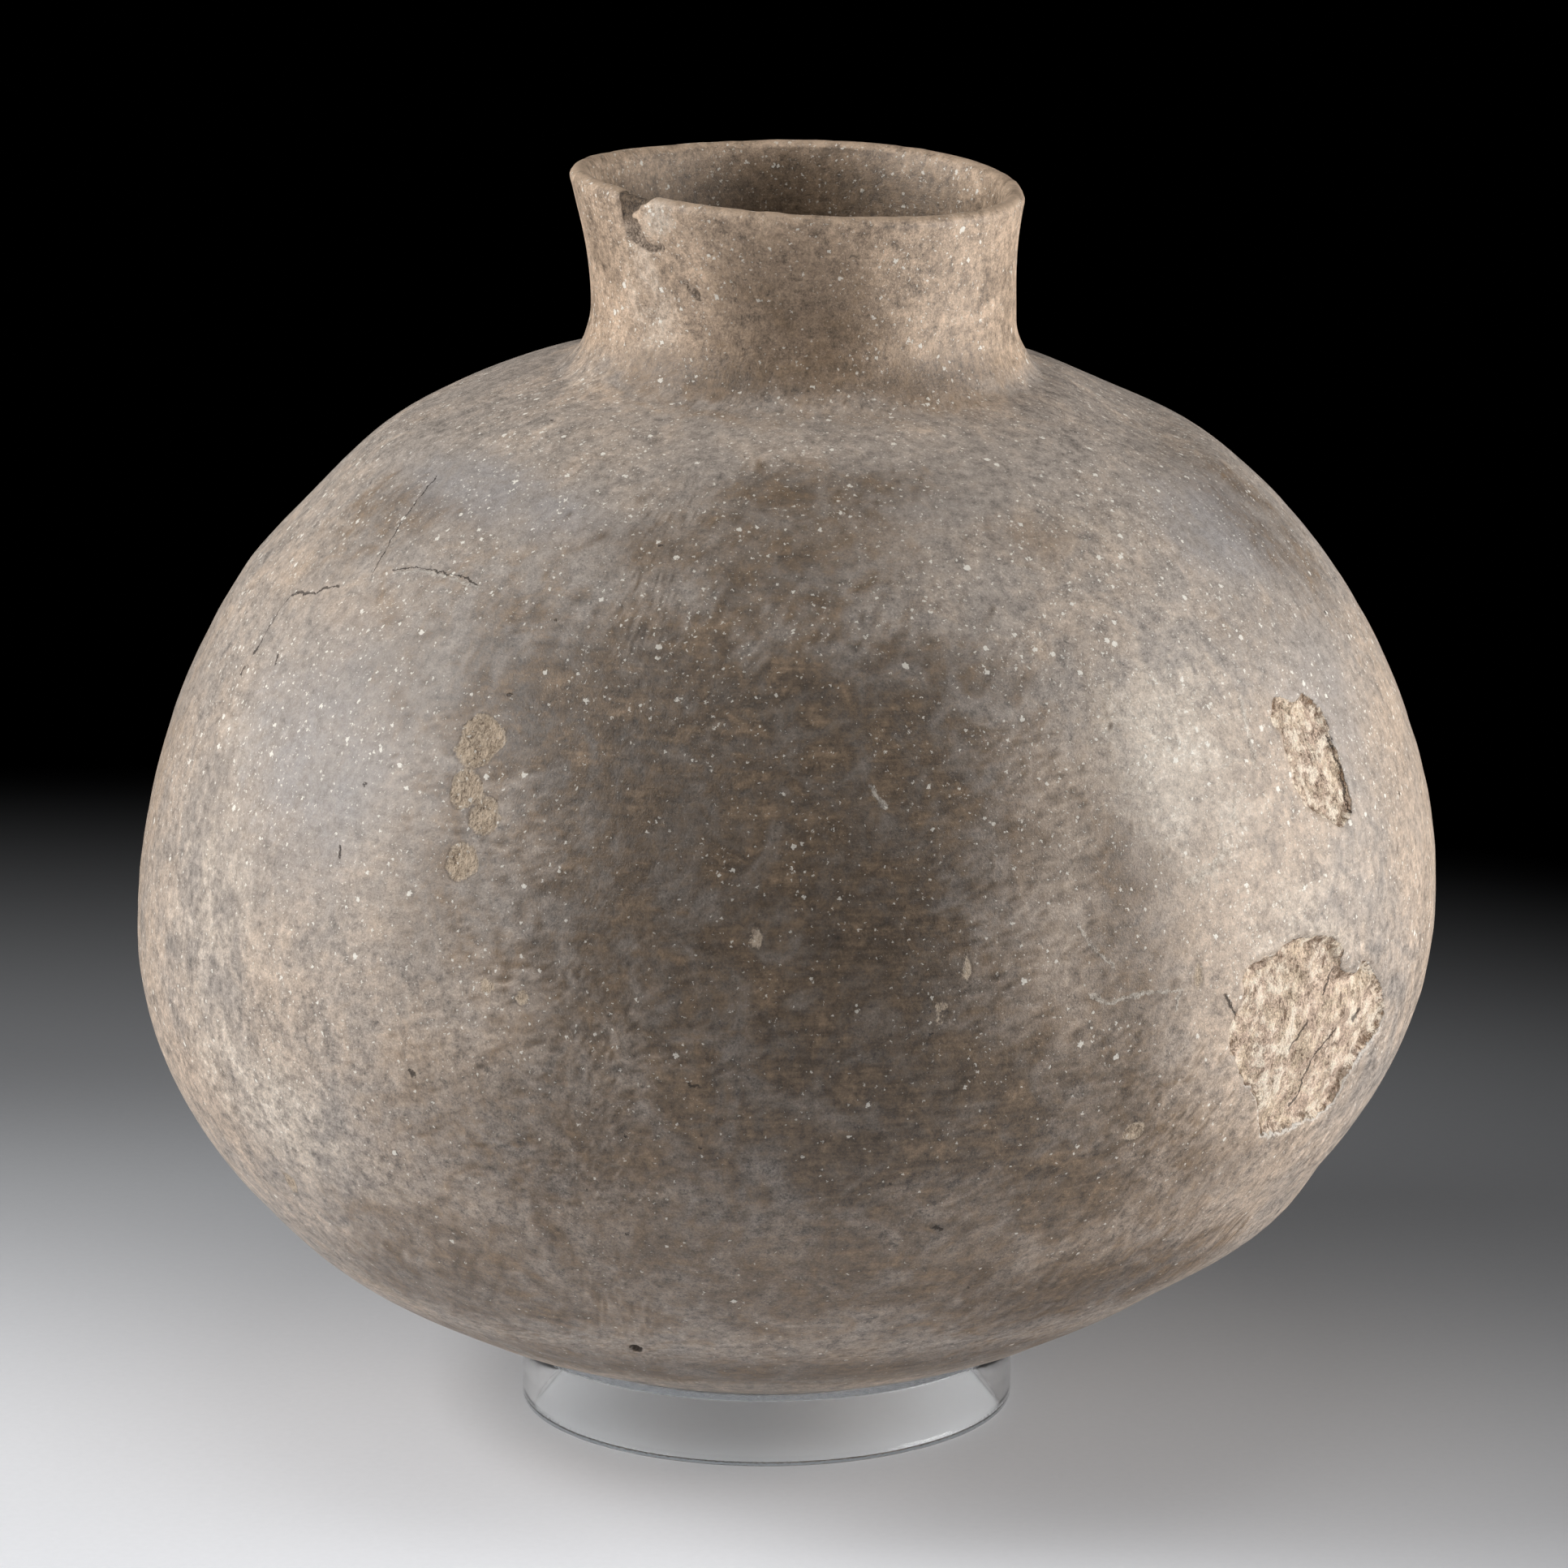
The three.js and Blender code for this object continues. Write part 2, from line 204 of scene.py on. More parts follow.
# Smoke and tone left by the firing, with some painted shade: azimuth, height, reach across and up in
# millimetres, strength. The mouth's painted shade darkens the inside, in place of the dark clouds.
DARK_CLOUDS = (
    (-2, 218, 84, 62, 0.72),
    (2, 168, 84, 40, 0.5),
    (-20, 244, 50, 34, 0.4),
    (10, 250, 50, 28, 0.5),
    (-18, 190, 34, 44, 0.3),
    (9, 186, 26, 46, 0.4),
    (-30, 276, 110, 24, 0.28),
    (-58, 287, 40, 14, 0.25),
    (0, 288, 46, 32, 0.5),
    (-34, 250, 74, 30, 0.35),
    # Painted shade as well as smoke: darkens the upper right side towards its edge
    (76, 274, 34, 44, 0.5),
    (4, 128, 110, 28, 0.55),
    (20, 150, 60, 26, 0.35),
    (26, 122, 50, 30, 0.4),
    (4, 88, 150, 40, 0.55),
    (12, 60, 130, 32, 0.35),
    (0, 34, 170, 22, 0.6),
    (-38, 60, 60, 24, 0.55),
    (40, 62, 60, 26, 0.55),
    (-30, 128, 40, 30, 0.3),
    # Painted shade as well as smoke: these two darken the left and right sides towards their edges
    (-90, 190, 60, 90, 0.3),
    (96, 190, 50, 90, 0.3),
    (31, 186, 30, 34, 0.3),
    (-32, 196, 26, 48, 0.35),
    (-20, 134, 24, 46, 0.35),
    (-8, 258, 60, 16, 0.3),
    (6, 337, 30, 12, 0.4),
    (0, 324, 80, 9, 0.5),
    (2, 352, 30, 22, 0.45),
    (-32, 319, 40, 10, 0.35),
    (42, 319, 40, 10, 0.35),
    (2, 314, 60, 8, 0.3),
    (4, 300, 60, 12, 0.3),
    (19, 214, 28, 24, 0.38),
    (3, 157, 50, 15, 0.32),
    (8, 120, 26, 26, 0.28),
    (30, 188, 18, 80, 0.3),
    (38, 104, 60, 16, 0.32),
    (-36, 84, 40, 22, 0.32),
    (-20, 190, 18, 15, 0.3),
    (-14, 226, 20, 15, 0.25),
    (6, 304, 34, 11, 0.28),
    (-18, 288, 28, 15, 0.3),
    (33, 287, 22, 13, 0.3),
    (-65, 278, 24, 26, 0.22),
    (56, 256, 36, 16, 0.22),
    (-17, 341, 13, 30, 0.28),
    (47, 329, 15, 10, 0.25),
    (150, 170, 100, 80, 0.7),
    (-140, 130, 90, 60, 0.5),
    (115, 95, 60, 40, 0.4),
    (-170, 60, 140, 50, 0.5),
)
# Painted shade inside the mouth: dark blobs where the inside lies in shade
MOUTH_PAINTED_SHADE = (
    (176, 346, 52, 34, 0.9),
    (160, 335, 90, 30, 0.6),
    (-150, 325, 60, 30, 0.5),
    (0, 318, 140, 26, 0.7),
)
BLUE_CLOUDS = (
    (-50, 294, 46, 18, 0.75),
    (-30, 290, 30, 14, 0.45),
    (66, 280, 44, 28, 0.75),
    (18, 295, 30, 12, 0.35),
    (62, 228, 30, 34, 0.45),
    (-50, 226, 60, 50, 0.6),
    (-20, 178, 24, 30, 0.25),
    (-14, 215, 30, 20, 0.2),
    (10, 140, 40, 20, 0.15),
    (-150, 280, 60, 24, 0.7),
    (120, 240, 50, 40, 0.5),
)
TAN_CLOUDS = (
    (0, 288, 120, 10, 0.3),
    (26, 205, 30, 44, 0.6),
    (44, 212, 34, 40, 0.6),
    (32, 165, 40, 22, 0.45),
    (-62, 262, 40, 14, 0.5),
    (78, 180, 40, 70, 0.6),
    (-66, 110, 50, 20, 0.6),
    (-84, 200, 30, 60, 0.3),
    (-30, 140, 30, 14, 0.35),
    (10, 92, 150, 50, 0.4),
    (40, 160, 60, 70, 0.5),
    (45, 330, 30, 30, 0.5),
    (120, 60, 80, 30, 0.5),
    (-110, 220, 60, 50, 0.4),
)
PALE_CLOUDS = (
    (38, 226, 36, 38, 0.75),
    (24, 205, 14, 34, 0.35),
    (50, 172, 34, 24, 0.5),
    (46, 288, 34, 14, 0.3),
    (-52, 118, 46, 24, 0.55),
    (-37, 367, 7, 6, 0.55),
    (-44, 342, 14, 24, 0.45),
    (-60, 188, 36, 60, 0.45),
    (-40, 102, 34, 14, 0.4),
    (-64, 318, 16, 16, 0.3),
    (0, 190, 30, 14, 0.2),
    (8, 225, 12, 7, 0.5),
    (140, 250, 50, 30, 0.4),
)

# Size of the grain that roughens the clouds, in millimetres
CLOUD_GRAIN = 0.034

# Value of a kind of damage far outside it, and how far from its centre each kind is worked out,
# in millimetres
UNTOUCHED = -8.0
SPALL_REACH = 75
FLAKE_REACH = 14
CHIP_REACH = 22
PIT_REACH = 6

# Least half width of a crack, and how far behind a patch's middle its wall still counts, in
# millimetres
LEAST_CRACK = 0.08
PATCH_DEPTH = 20

# Numbers stored on the jar's vertices: damage, tones of the clay with painted shade, and where the vertex
# is
VERTEX_VALUES = ("spall", "flake", "chip", "dark", "blue", "tan", "pale", "inside", "height")

# Heights on the jar between which its finish changes, in millimetres
COOL_SHOULDER = (270, 170)
WARM_NECK = (312, 326)
BROWN_NECK = (312, 330)
LIVELY_NECK = (314, 330)
LIVELY_BASE = (190, 110)
BROWN_MOUTH = (372, 358)
# Painted shade: the inside of the mouth darkens between these heights, deeper down
PAINTED_SHADE_IN_MOUTH = (364, 325)
WORN_LIP = (370.8, 373)
SOOTY_CHIP = (361.5, 366)
TORN_EDGE = (138, 122)
TEMPER_RISE = (60, 270)

ACRYLIC_IOR = 1.49

# The studio, in metres: half the floor's side, the middle of the pool of light painted on it, what the
# lamps face, and each soft box's side, width, height and place
FLOOR_REACH = 8
PAINTED_POOL_CENTRE = (-0.3, -0.5, 0)
LAMP_TARGET = (0, 0, 0.19)
SOFT_BOXES = (
    ("left", 0.8, 1.0, (-1.33, -0.26, 0.92)),
    ("right", 0.8, 0.9, (1.34, -0.19, 0.45)),
    ("top", 0.9, 0.6, (0, -0.4, 1.5)),
)

# The camera's sensor in millimetres, and how far it sees in metres
SENSOR_WIDTH = 36
CAMERA_REACH = 100

# Steps of the jar's mesh: azimuth or height, and the wanted step there in degrees or millimetres
COLUMN_STEPS = (
    (-180, 2.5), (-88, 1.9), (-66, 0.88), (-21, 0.88), (-18.5, 0.36), (-13.5, 0.36), (-11, 0.88),
    (26, 0.88), (33, 0.38), (76, 0.38), (84, 1.3), (120, 2.5), (180, 2.5),
)
OUTSIDE_STEPS = (
    (0, 7.0), (36, 5.0), (42.5, 0.9), (49.5, 0.9), (56, 4.5), (98, 4.0), (106, 1.55), (242, 1.55),
    (250, 3.2), (300, 3.2), (312, 1.9), (330, 1.9), (366, 1.3), (373, 0.9),
)
INSIDE_STEPS = ((0, 34.0), (240, 26.0), (300, 10.0), (330, 5.0), (373, 2.5))


def length(name, description, millimetres):
    """A size that the user can change, kept in metres."""
    return bpy.props.FloatProperty(
        name=name, description=description, default=millimetres * MM, unit="LENGTH", precision=5
    )


def angle(name, description, degrees):
    """An angle that the user can change, kept in radians."""
    return bpy.props.FloatProperty(
        name=name, description=description, default=math.radians(degrees), subtype="ANGLE"
    )


def number(name, description, default):
    """A plain number that the user can change."""
    return bpy.props.FloatProperty(name=name, description=description, default=default)


def colour(name, description, red, green, blue):
    """A colour that the user can change, written as screen values from 0 to 255."""
    screen = np.array([red, green, blue]) / 255
    linear = np.where(screen <= 0.04045, screen / 12.92, ((screen + 0.055) / 1.055) ** 2.4)
    return bpy.props.FloatVectorProperty(
        name=name, description=description, default=linear.tolist(), subtype="COLOR",
        min=0, max=1, size=3,
    )


class OllaJarSizes(bpy.types.PropertyGroup):
    """Sizes of the turned jar, before it leans."""

    belly_radius: length("Belly radius", "Outside radius at the widest height", 199.5)
    belly_height: length("Belly height", "Height of the widest place above the base", 147.6)
    base_flat_reach: length("Base flat reach", "How far the base stays flat", 101.5)
    lower_belly_reach: length("Lower belly reach", "Handle of the curve below the belly", 82)
    upper_belly_reach: length("Upper belly reach", "Handle of the curve above the belly", 70)
    shoulder_rise: length("Shoulder rise", "From the belly up to the root of the neck", 167)
    shoulder_reach: length("Shoulder reach", "Handle of the curve at the shoulder", 80)
    shoulder_slope: angle("Shoulder slope", "Slope where the shoulder meets the neck", 12)
    neck_waist_radius: length("Neck waist", "Smallest outside radius of the neck", 64.3)
    neck_root_spread: length("Neck root spread", "How far the root stands out", 11)
    neck_waist_rise: length("Neck waist rise", "From the root up to the waist", 17.5)
    neck_flare_rise: length("Neck flare rise", "From the waist up to the rim", 40.9)
    lip_spread: length("Lip spread", "How far the lip stands out past the waist", 4.4)
    lip_flare: angle("Lip flare", "Outward lean of the wall at the lip", 14)
    base_wall: length("Base wall", "Thickness of the wall at the base", 9)
    belly_wall: length("Belly wall", "Thickness of the wall at the belly", 7)
    neck_wall: length("Neck wall", "Thickness of the wall at the neck", 6.4)
    lip_wall: length("Lip wall", "Thickness of the wall at the lip", 6)
    belly_lean: length("Belly lean", "How far the belly stands towards +X", 7.2)
    neck_lean: length("Neck lean", "How much further the neck stands towards +X", 4.2)
    lip_lean: length("Lip lean", "How far the lip stands back again", -2)
    hand_unevenness: length("Hand unevenness", "Depth of the broad hollows left by hand", 0.5)
    scrape_depth: length("Scrape depth", "Depth of the narrow scraping marks", 0.12)
    lip_wear: length("Lip wear", "Depth of the wear along the lip", 0.28)
    spall_roughness: length("Spall roughness", "How rough the broken faces are", 0.9)


class OllaClayLook(bpy.types.PropertyGroup):
    """Colours and polish of the fired clay."""

    tan: colour("Tan clay", "Where the fire was clean", 184, 164, 145)
    grey: colour("Grey clay", "Most of the surface", 165, 154, 144)
    neck: colour("Neck clay", "Warmer clay of the neck", 194, 168, 143)
    olive: colour("Neck clay, darker", "Browner patches of the neck", 160, 136, 112)
    pale: colour("Pale haze", "Chalky wear on the shoulder and sides", 200, 187, 172)
    brown: colour("Brown clay", "Patches in the fire clouds", 126, 106, 85)
    # Also the colour of painted shade inside the mouth and round the flakes
    smoke_and_shade: colour("Fire cloud", "Where smoke blackened the clay", 82, 68, 54)
    blue: colour("Blue-grey cloud", "Cooler smoke on the shoulder", 146, 142, 141)
    rim: colour("Rim", "Worn edge of the lip", 186, 162, 138)
    speck: colour("Temper", "Pale grains of temper at the surface", 244, 238, 226)
    buff: colour("Broken face", "Fresh clay inside the spalls", 222, 199, 172)
    pale_buff: colour("Broken face, pale", "Chalky lumps in the spalls", 236, 222, 202)
    # Also painted shade in the spalls' hollows and along their outline
    buff_shade: colour("Broken face, deep", "Brown of the pits in the spalls", 134, 104, 76)
    pink: colour("Broken face, pink", "Pinker clay in the spalls", 220, 193, 171)
    crack: colour("Crack", "Dirt in cracks and pits", 44, 35, 29)
    polish: number("Roughness", "Roughness of the burnished face", 0.5)


class OllaRingSizes(bpy.types.PropertyGroup):
    """Sizes of the clear display ring, from the frame."""

    outer_radius: bpy.props.FloatProperty(
        name="Outer radius", description="Outside radius of the tube", unit="LENGTH",
        default=(RING_BOX[1].x - RING_BOX[0].x) / 2, precision=5,
    )
    height: bpy.props.FloatProperty(
        name="Height", description="Height of the slice of tube", unit="LENGTH",
        default=RING_BOX[1].z, precision=5,
    )
    wall: length("Wall", "Wall of the tube", 6.35)
    bevel: length("Edge", "Radius of the sawn and polished edges", 0.5)
    tint: colour("Tint", "Colour of the clear plastic", 250, 251, 251)
    polish: number("Roughness", "Roughness of the polished faces", 0.03)


class OllaStageLook(bpy.types.PropertyGroup):
    """Floor, lamps and camera of the studio."""

    floor: colour("Floor", "Pale floor", 243, 245, 249)
    # The pool and the faint rest of the floor are painted light in the floor's colour
    painted_pool_start: length("Pool start", "Where the lit part of the floor begins to fade", 400)
    painted_pool_end: length("Pool end", "Where the lit part of the floor ends", 880)
    far_painted_light_start: length("Glow start", "Where the faint rest of the floor begins to fade", 700)
    far_painted_light_end: length("Glow end", "Where the floor has faded to black", 1300)
    far_painted_light: number("Glow", "Strength of the floor past the lit part", 0.25)
    left_lamp: number("Left lamp", "Power of the left soft box, in watts", 22)
    right_lamp: number("Right lamp", "Power of the right soft box, in watts", 18.5)
    top_lamp: number("Top lamp", "Power of the soft box overhead, in watts", 3)
    fill: number("Fill", "Strength of the even light from all round", 0.05)
    camera_distance: length("Camera distance", "From the ring's axis back to the camera", 2487)
    camera_height: length("Camera height", "Height of the camera over the floor", 829.9)
    camera_offset: length("Camera offset", "Camera to the right of the ring's axis", 5.45)
    camera_pitch: angle("Camera pitch", "How far the camera looks down", 14.33)
    camera_lens: number("Lens", "Focal length on a 36 mm wide sensor, in millimetres", 192.07)


# Curves and noise


def smoothstep(value, low, high):
    """3t^2 - 2t^3, where t runs from 0 at low to 1 at high."""
    t = np.clip((value - low) / (high - low), 0, 1)
    return t * t * (3 - 2 * t)


def cubic(start, start_handle, end_handle, end, count=400):
    """Bezier curve: (1-t)^3 a + 3t(1-t)^2 b + 3t^2(1-t) c + t^3 d, with t from 0 to 1."""
    t = np.linspace(0, 1, count)[:, None]
    points = [np.array(point, float) for point in (start, start_handle, end_handle, end)]
    weights = ((1 - t) ** 3, 3 * t * (1 - t) ** 2, 3 * t * t * (1 - t), t ** 3)
    return sum(weight * point for weight, point in zip(weights, points))


def noise(points, seed):
    """Value noise from -1 to 1: hashed numbers at whole-number corners of space, blended between
    them with 3t^2 - 2t^3 along each axis."""
    corner = np.floor(points).astype(np.int64)
    part = points - corner
    blend = part * part * (3 - 2 * part)
    total = np.zeros(len(points))
    for index in range(8):
        step = np.array([index & 1, index >> 1 & 1, index >> 2 & 1])
        key = (corner + step) @ np.array([73856093, 19349663, 83492791]) + seed * 40503
        key = (key ^ (key >> 13)) * 1274126177 & 0x7FFFFFFF
        key = (key ^ (key >> 15)) * 668265263 & 0x7FFFFFFF
        value = (key >> 7 & 0xFFFF) / 0x8000 - 1
        total += value * np.prod(np.where(step, blend, 1 - blend), axis=1)
    return total


def rough(points, size, octaves, seed):
    """Sum of value noise, each octave at half the size and half the strength of the last."""
    return sum(
        noise(points / (size * 0.5 ** octave), seed + octave) * 0.5 ** octave
        for octave in range(octaves)
    )


def stations(path, steps, at):
    """Places along a path whose spacing follows wanted steps: the running sum of 1/step is cut
    into equal parts. The steps are looked up at the values of at."""
    step = np.interp(at, *np.array(steps, float).T)
    density = 2 / (step[1:] + step[:-1])
    total = np.concatenate([[0], np.cumsum(np.abs(np.diff(path)) * density)])
    count = int(round(total[-1]))
    return np.interp(np.linspace(0, total[-1], count + 1), total, path)


# The jar's form


def path_length(points):
    """Running length along a line of points."""
    steps = np.linalg.norm(np.diff(points, axis=0), axis=1)
    return np.concatenate([[0], np.cumsum(steps)])


def heights_of(sizes):
    """Heights of the neck's root, its waist and the rim."""
    root = sizes.belly_height + sizes.shoulder_rise
    waist = root + sizes.neck_waist_rise
    return root, waist, waist + sizes.neck_flare_rise


def outside_line(sizes):
    """Radius and height from the middle of the base to the end of the flare: four Bezier curves
    end to end, for the base, the shoulder, the root of the neck and the flare."""
    root_height, waist_height, rim_height = heights_of(sizes)
    root_radius = sizes.neck_waist_radius + sizes.neck_root_spread
    round_lip = sizes.lip_wall / 2
    lip_radius = sizes.neck_waist_radius + sizes.lip_spread
    belly = np.array([sizes.belly_radius, sizes.belly_height])
    root = np.array([root_radius, root_height])
    waist = np.array([sizes.neck_waist_radius, waist_height])
    inward = np.array([-math.cos(sizes.shoulder_slope), math.sin(sizes.shoulder_slope)])
    outward = np.array([math.sin(sizes.lip_flare), math.cos(sizes.lip_flare)])
    up = np.array([0, 1])
    flare = np.array([
        lip_radius - round_lip * (1 - math.cos(sizes.lip_flare)),
        rim_height - round_lip * (1 + math.sin(sizes.lip_flare)),
    ])
    curves = (
        cubic((0, 0), (sizes.base_flat_reach, 0), belly - up * sizes.lower_belly_reach, belly),
        cubic(belly, belly + up * sizes.upper_belly_reach, root - inward * sizes.shoulder_reach, root),
        cubic(
            root, root + inward * sizes.neck_root_spread / 2,
            waist - up * sizes.neck_waist_rise / 2, waist,
        ),
        cubic(
            waist, waist + up * sizes.neck_flare_rise / 3,
            flare - outward * sizes.neck_flare_rise / 3, flare,
        ),
    )
    return np.concatenate([curves[0]] + [curve[1:] for curve in curves[1:]])


def normals_of(line):
    """Outward normals of a line that runs up the outside of the jar."""
    along = np.gradient(line, axis=0)
    normal = np.stack([along[:, 1], -along[:, 0]], axis=1)
    return normal / np.linalg.norm(normal, axis=1)[:, None]


def inside_line(sizes, outside):
    """The outside moved in, square to itself, by the thickness of the wall, and run backwards."""
    root, waist, rim = heights_of(sizes)
    wall = np.interp(
        outside[:, 1], [0, sizes.belly_height, root, waist, rim],
        [sizes.base_wall, sizes.belly_wall, sizes.belly_wall, sizes.neck_wall, sizes.lip_wall],
    )
    inside = outside - normals_of(outside) * wall[:, None]
    inside = inside[inside[:, 0] > 0]
    inside[0, 0] = 0
    return inside[::-1]


def lip_line(sizes, count=9):
    """Half circle over the lip, from the end of the outside to the start of the inside."""
    rim = heights_of(sizes)[2]
    round_lip = sizes.lip_wall / 2
    centre = (sizes.neck_waist_radius + sizes.lip_spread - round_lip, rim - round_lip)
    turn = np.linspace(-sizes.lip_flare, math.pi - sizes.lip_flare, count)
    normal = np.stack([np.cos(turn), np.sin(turn)], axis=1)
    return np.array(centre) + round_lip * normal, normal


def resample(line, steps):
    """A line's points at stations whose spacing follows the wanted steps at each height."""
    path = path_length(line)
    placed = stations(path, [(height * MM, step * MM) for height, step in steps], line[:, 1])
    return np.stack([np.interp(placed, path, line[:, axis]) for axis in (0, 1)], axis=1)


def swell_at(azimuth, height):
    """Sum of compact bumps, rise (1 - d^2)^2, with d the distance from a swell's centre in its
    own reaches across and up."""
    total = np.zeros_like(azimuth)
    for centre, centre_height, across, up, rise in SWELLS:
        turn = (azimuth - centre + 180) % 360 - 180
        distance = (turn / across) ** 2 + ((height / MM - centre_height) / up) ** 2
        total += rise * MM * np.maximum(0, 1 - distance) ** 2
    return total


def rim_rise_at(sizes, azimuth, height):
    """Sum of cosine waves round the rim, faded in from below the root of the neck."""
    root, _, rim = heights_of(sizes)
    wave = sum(
        rise * MM * np.cos(count * np.radians(azimuth - crest)) for rise, count, crest in RIM_WAVES
    )
    return wave * smoothstep(height, root - WAVES_BELOW_ROOT * MM, rim - sizes.lip_wall)


def lean_at(sizes, height):
    """How far the jar stands towards +X: the belly, then the neck, then the lip a little back."""
    root, waist, rim = heights_of(sizes)
    past_belly = sizes.belly_height + LEAN_PAST_BELLY * MM
    belly = sizes.belly_lean * smoothstep(height, LEAN_START * MM, past_belly)
    near_root = LEAN_ROUND_ROOT * MM
    neck = sizes.neck_lean * smoothstep(height, root - near_root, root + near_root)
    return belly + neck + sizes.lip_lean * smoothstep(height, waist, rim)


def hand_built(sizes, points, azimuth, height):
    """Moves points of the true round jar: swells straight out from the middle of the belly, the
    rim's waves upwards, and the lean towards +X. Then the jar is set on its seat over the ring."""
    outward = points - np.array([0, 0, sizes.belly_height])
    outward /= np.linalg.norm(outward, axis=1)[:, None]
    formed = points + outward * swell_at(azimuth, height)[:, None]
    formed[:, 0] += lean_at(sizes, height) + RING_CENTRE_X
    formed[:, 1] += RING_CENTRE_Y
    formed[:, 2] += rim_rise_at(sizes, azimuth, height) + JAR_BOX[0].z
    return formed


def compass(azimuth):
    """Unit vectors straight out at azimuths in degrees."""
    turn = np.radians(azimuth)
    return np.stack([np.sin(turn), -np.cos(turn), np.zeros_like(turn)], axis=-1)


def wall_frame(sizes, line, azimuth, height):
    """Place, and unit vectors across, up and out, on the outside of the round jar."""
    radius = np.interp(height * MM, line[:, 1], line[:, 0])
    normal = [np.interp(height * MM, line[:, 1], n) for n in normals_of(line).T]
    out = compass(np.array(float(azimuth)))
    across = np.array([-out[1], out[0], 0])
    outward = out * normal[0] + np.array([0, 0, normal[1]])
    return out * radius + np.array([0, 0, height * MM]), across, np.cross(outward, across), outward


def on_wall(sizes, line, azimuth, height):
    """A place on the finished outside wall, in metres."""
    place = wall_frame(sizes, line, azimuth, height)[0][None]
    return hand_built(sizes, place, np.array([float(azimuth)]), np.array([height * MM]))[0]


def closed_spline(corners, steps=4):
    """Closed Catmull-Rom curve: between each two corners, half of
    2b + (c-a)t + (2a-5b+4c-d)t^2 + (3b-a-3c+d)t^3."""
    b = np.array(corners, float)[:, None]
    a, c, d = np.roll(b, 1, 0), np.roll(b, -1, 0), np.roll(b, -2, 0)
    t = (np.arange(steps) / steps)[None, :, None]
    curve = 2 * b + (c - a) * t + (2 * a - 5 * b + 4 * c - d) * t ** 2 + (3 * b - a - 3 * c + d) * t ** 3
    return (curve / 2).reshape(-1, 2)


def signed_distance(points, outline):
    """Least distance to the sides of a closed outline, positive inside it."""
    start, end = outline, np.roll(outline, -1, 0)
    side = end - start
    from_start = points[:, None] - start
    along = np.clip((from_start * side).sum(-1) / (side * side).sum(-1), 0, 1)
    distance = np.linalg.norm(from_start - along[..., None] * side, axis=-1).min(1)
    x, y = points[:, :1], points[:, 1:]
    spans = (start[:, 1] > y) != (end[:, 1] > y)
    rise = np.where(side[:, 1] == 0, 1, side[:, 1])
    crossing = spans & (x < side[:, 0] * (y - start[:, 1]) / rise + start[:, 0])
    return np.where(crossing.sum(1) % 2 == 1, distance, -distance)


def near_frame(points, frame_on_wall, reach):
    """Which points lie within reach of a place on the wall, and where they are across and up, in
    millimetres."""
    place, across, up, outward = frame_on_wall
    offset = points - place
    near = np.linalg.norm(offset, axis=1) < reach * MM
    return near, np.stack([offset[near] @ across, offset[near] @ up], axis=1) / MM


def cloud_field(sizes, line, clouds, azimuth, height, points):
    """Soft blobs laid over each other, strength exp(-1.4 d^3), with d the distance over the wall in
    each blob's own reaches, roughened by a grain as fine as the mesh. What stays clear is the
    product of 1 - blob. Points are in millimetres."""
    path = path_length(line)
    far_up = np.interp(height, line[:, 1], path)
    radius = np.interp(height, line[:, 1], line[:, 0])
    roughened = 1 + 0.45 * rough(points, CLOUD_GRAIN, 3, seed=70)
    clear = np.ones_like(azimuth)
    for centre, centre_height, across, up, strength in clouds:
        turn = (azimuth - centre + 180) % 360 - 180
        from_centre = np.radians(turn) * radius / (across * MM)
        above = (far_up - np.interp(centre_height * MM, line[:, 1], path)) / (up * MM)
        distance = np.sqrt((from_centre ** 2 + above ** 2) * roughened)
        clear *= 1 - strength * np.exp(-1.4 * distance ** 3)
    return 1 - clear


def spall_damage(flat, deep, corners, roughness):
    """A spall on flat points: a rough floor of fibres and lumps inside a ragged outline. Returns its
    depth, and how far inside it each point is."""
    solid = np.column_stack([flat, np.zeros(len(flat))])
    inside = signed_distance(flat, closed_spline(corners)) + 1.2 * rough(solid, 6, 4, seed=11)
    fibres = rough(solid * np.array([1, 0.7, 1]), 4, 3, seed=23)
    lumps = rough(solid, 14, 3, seed=31)
    floor = deep * MM + roughness * (0.6 * fibres + 0.7 * lumps)
    return floor * smoothstep(inside, -0.6, 1.5), inside


def flake_damage(flat, centre, wide, long, deep):
    """A flake on flat points: an uneven oval with a dished floor, in the same form."""
    solid = np.column_stack([flat, np.full(len(flat), centre)])
    reach = np.linalg.norm(flat / np.array([wide / 2, long / 2]), axis=1)
    reach = reach * (1 + 0.22 * rough(solid, 4, 2, seed=41))
    floor = deep * MM * (0.8 + 0.5 * rough(solid, 3, 2, seed=43))
    return floor * (1 - smoothstep(reach, 0.55, 1.0)), (1 - reach) * wide / 2


def chip_damage(flat, centre, deep, corners):
    """A chip on flat points: a gritty floor inside a crisp outline, in the same form."""
    solid = np.column_stack([flat, np.full(len(flat), centre)])
    inside = signed_distance(flat, closed_spline(corners)) + 0.5 * rough(solid, 3, 3, seed=53)
    floor = deep * MM * (1 + 0.35 * rough(solid, 3, 3, seed=57))
    return floor * smoothstep(inside, -0.5, 0.8), inside


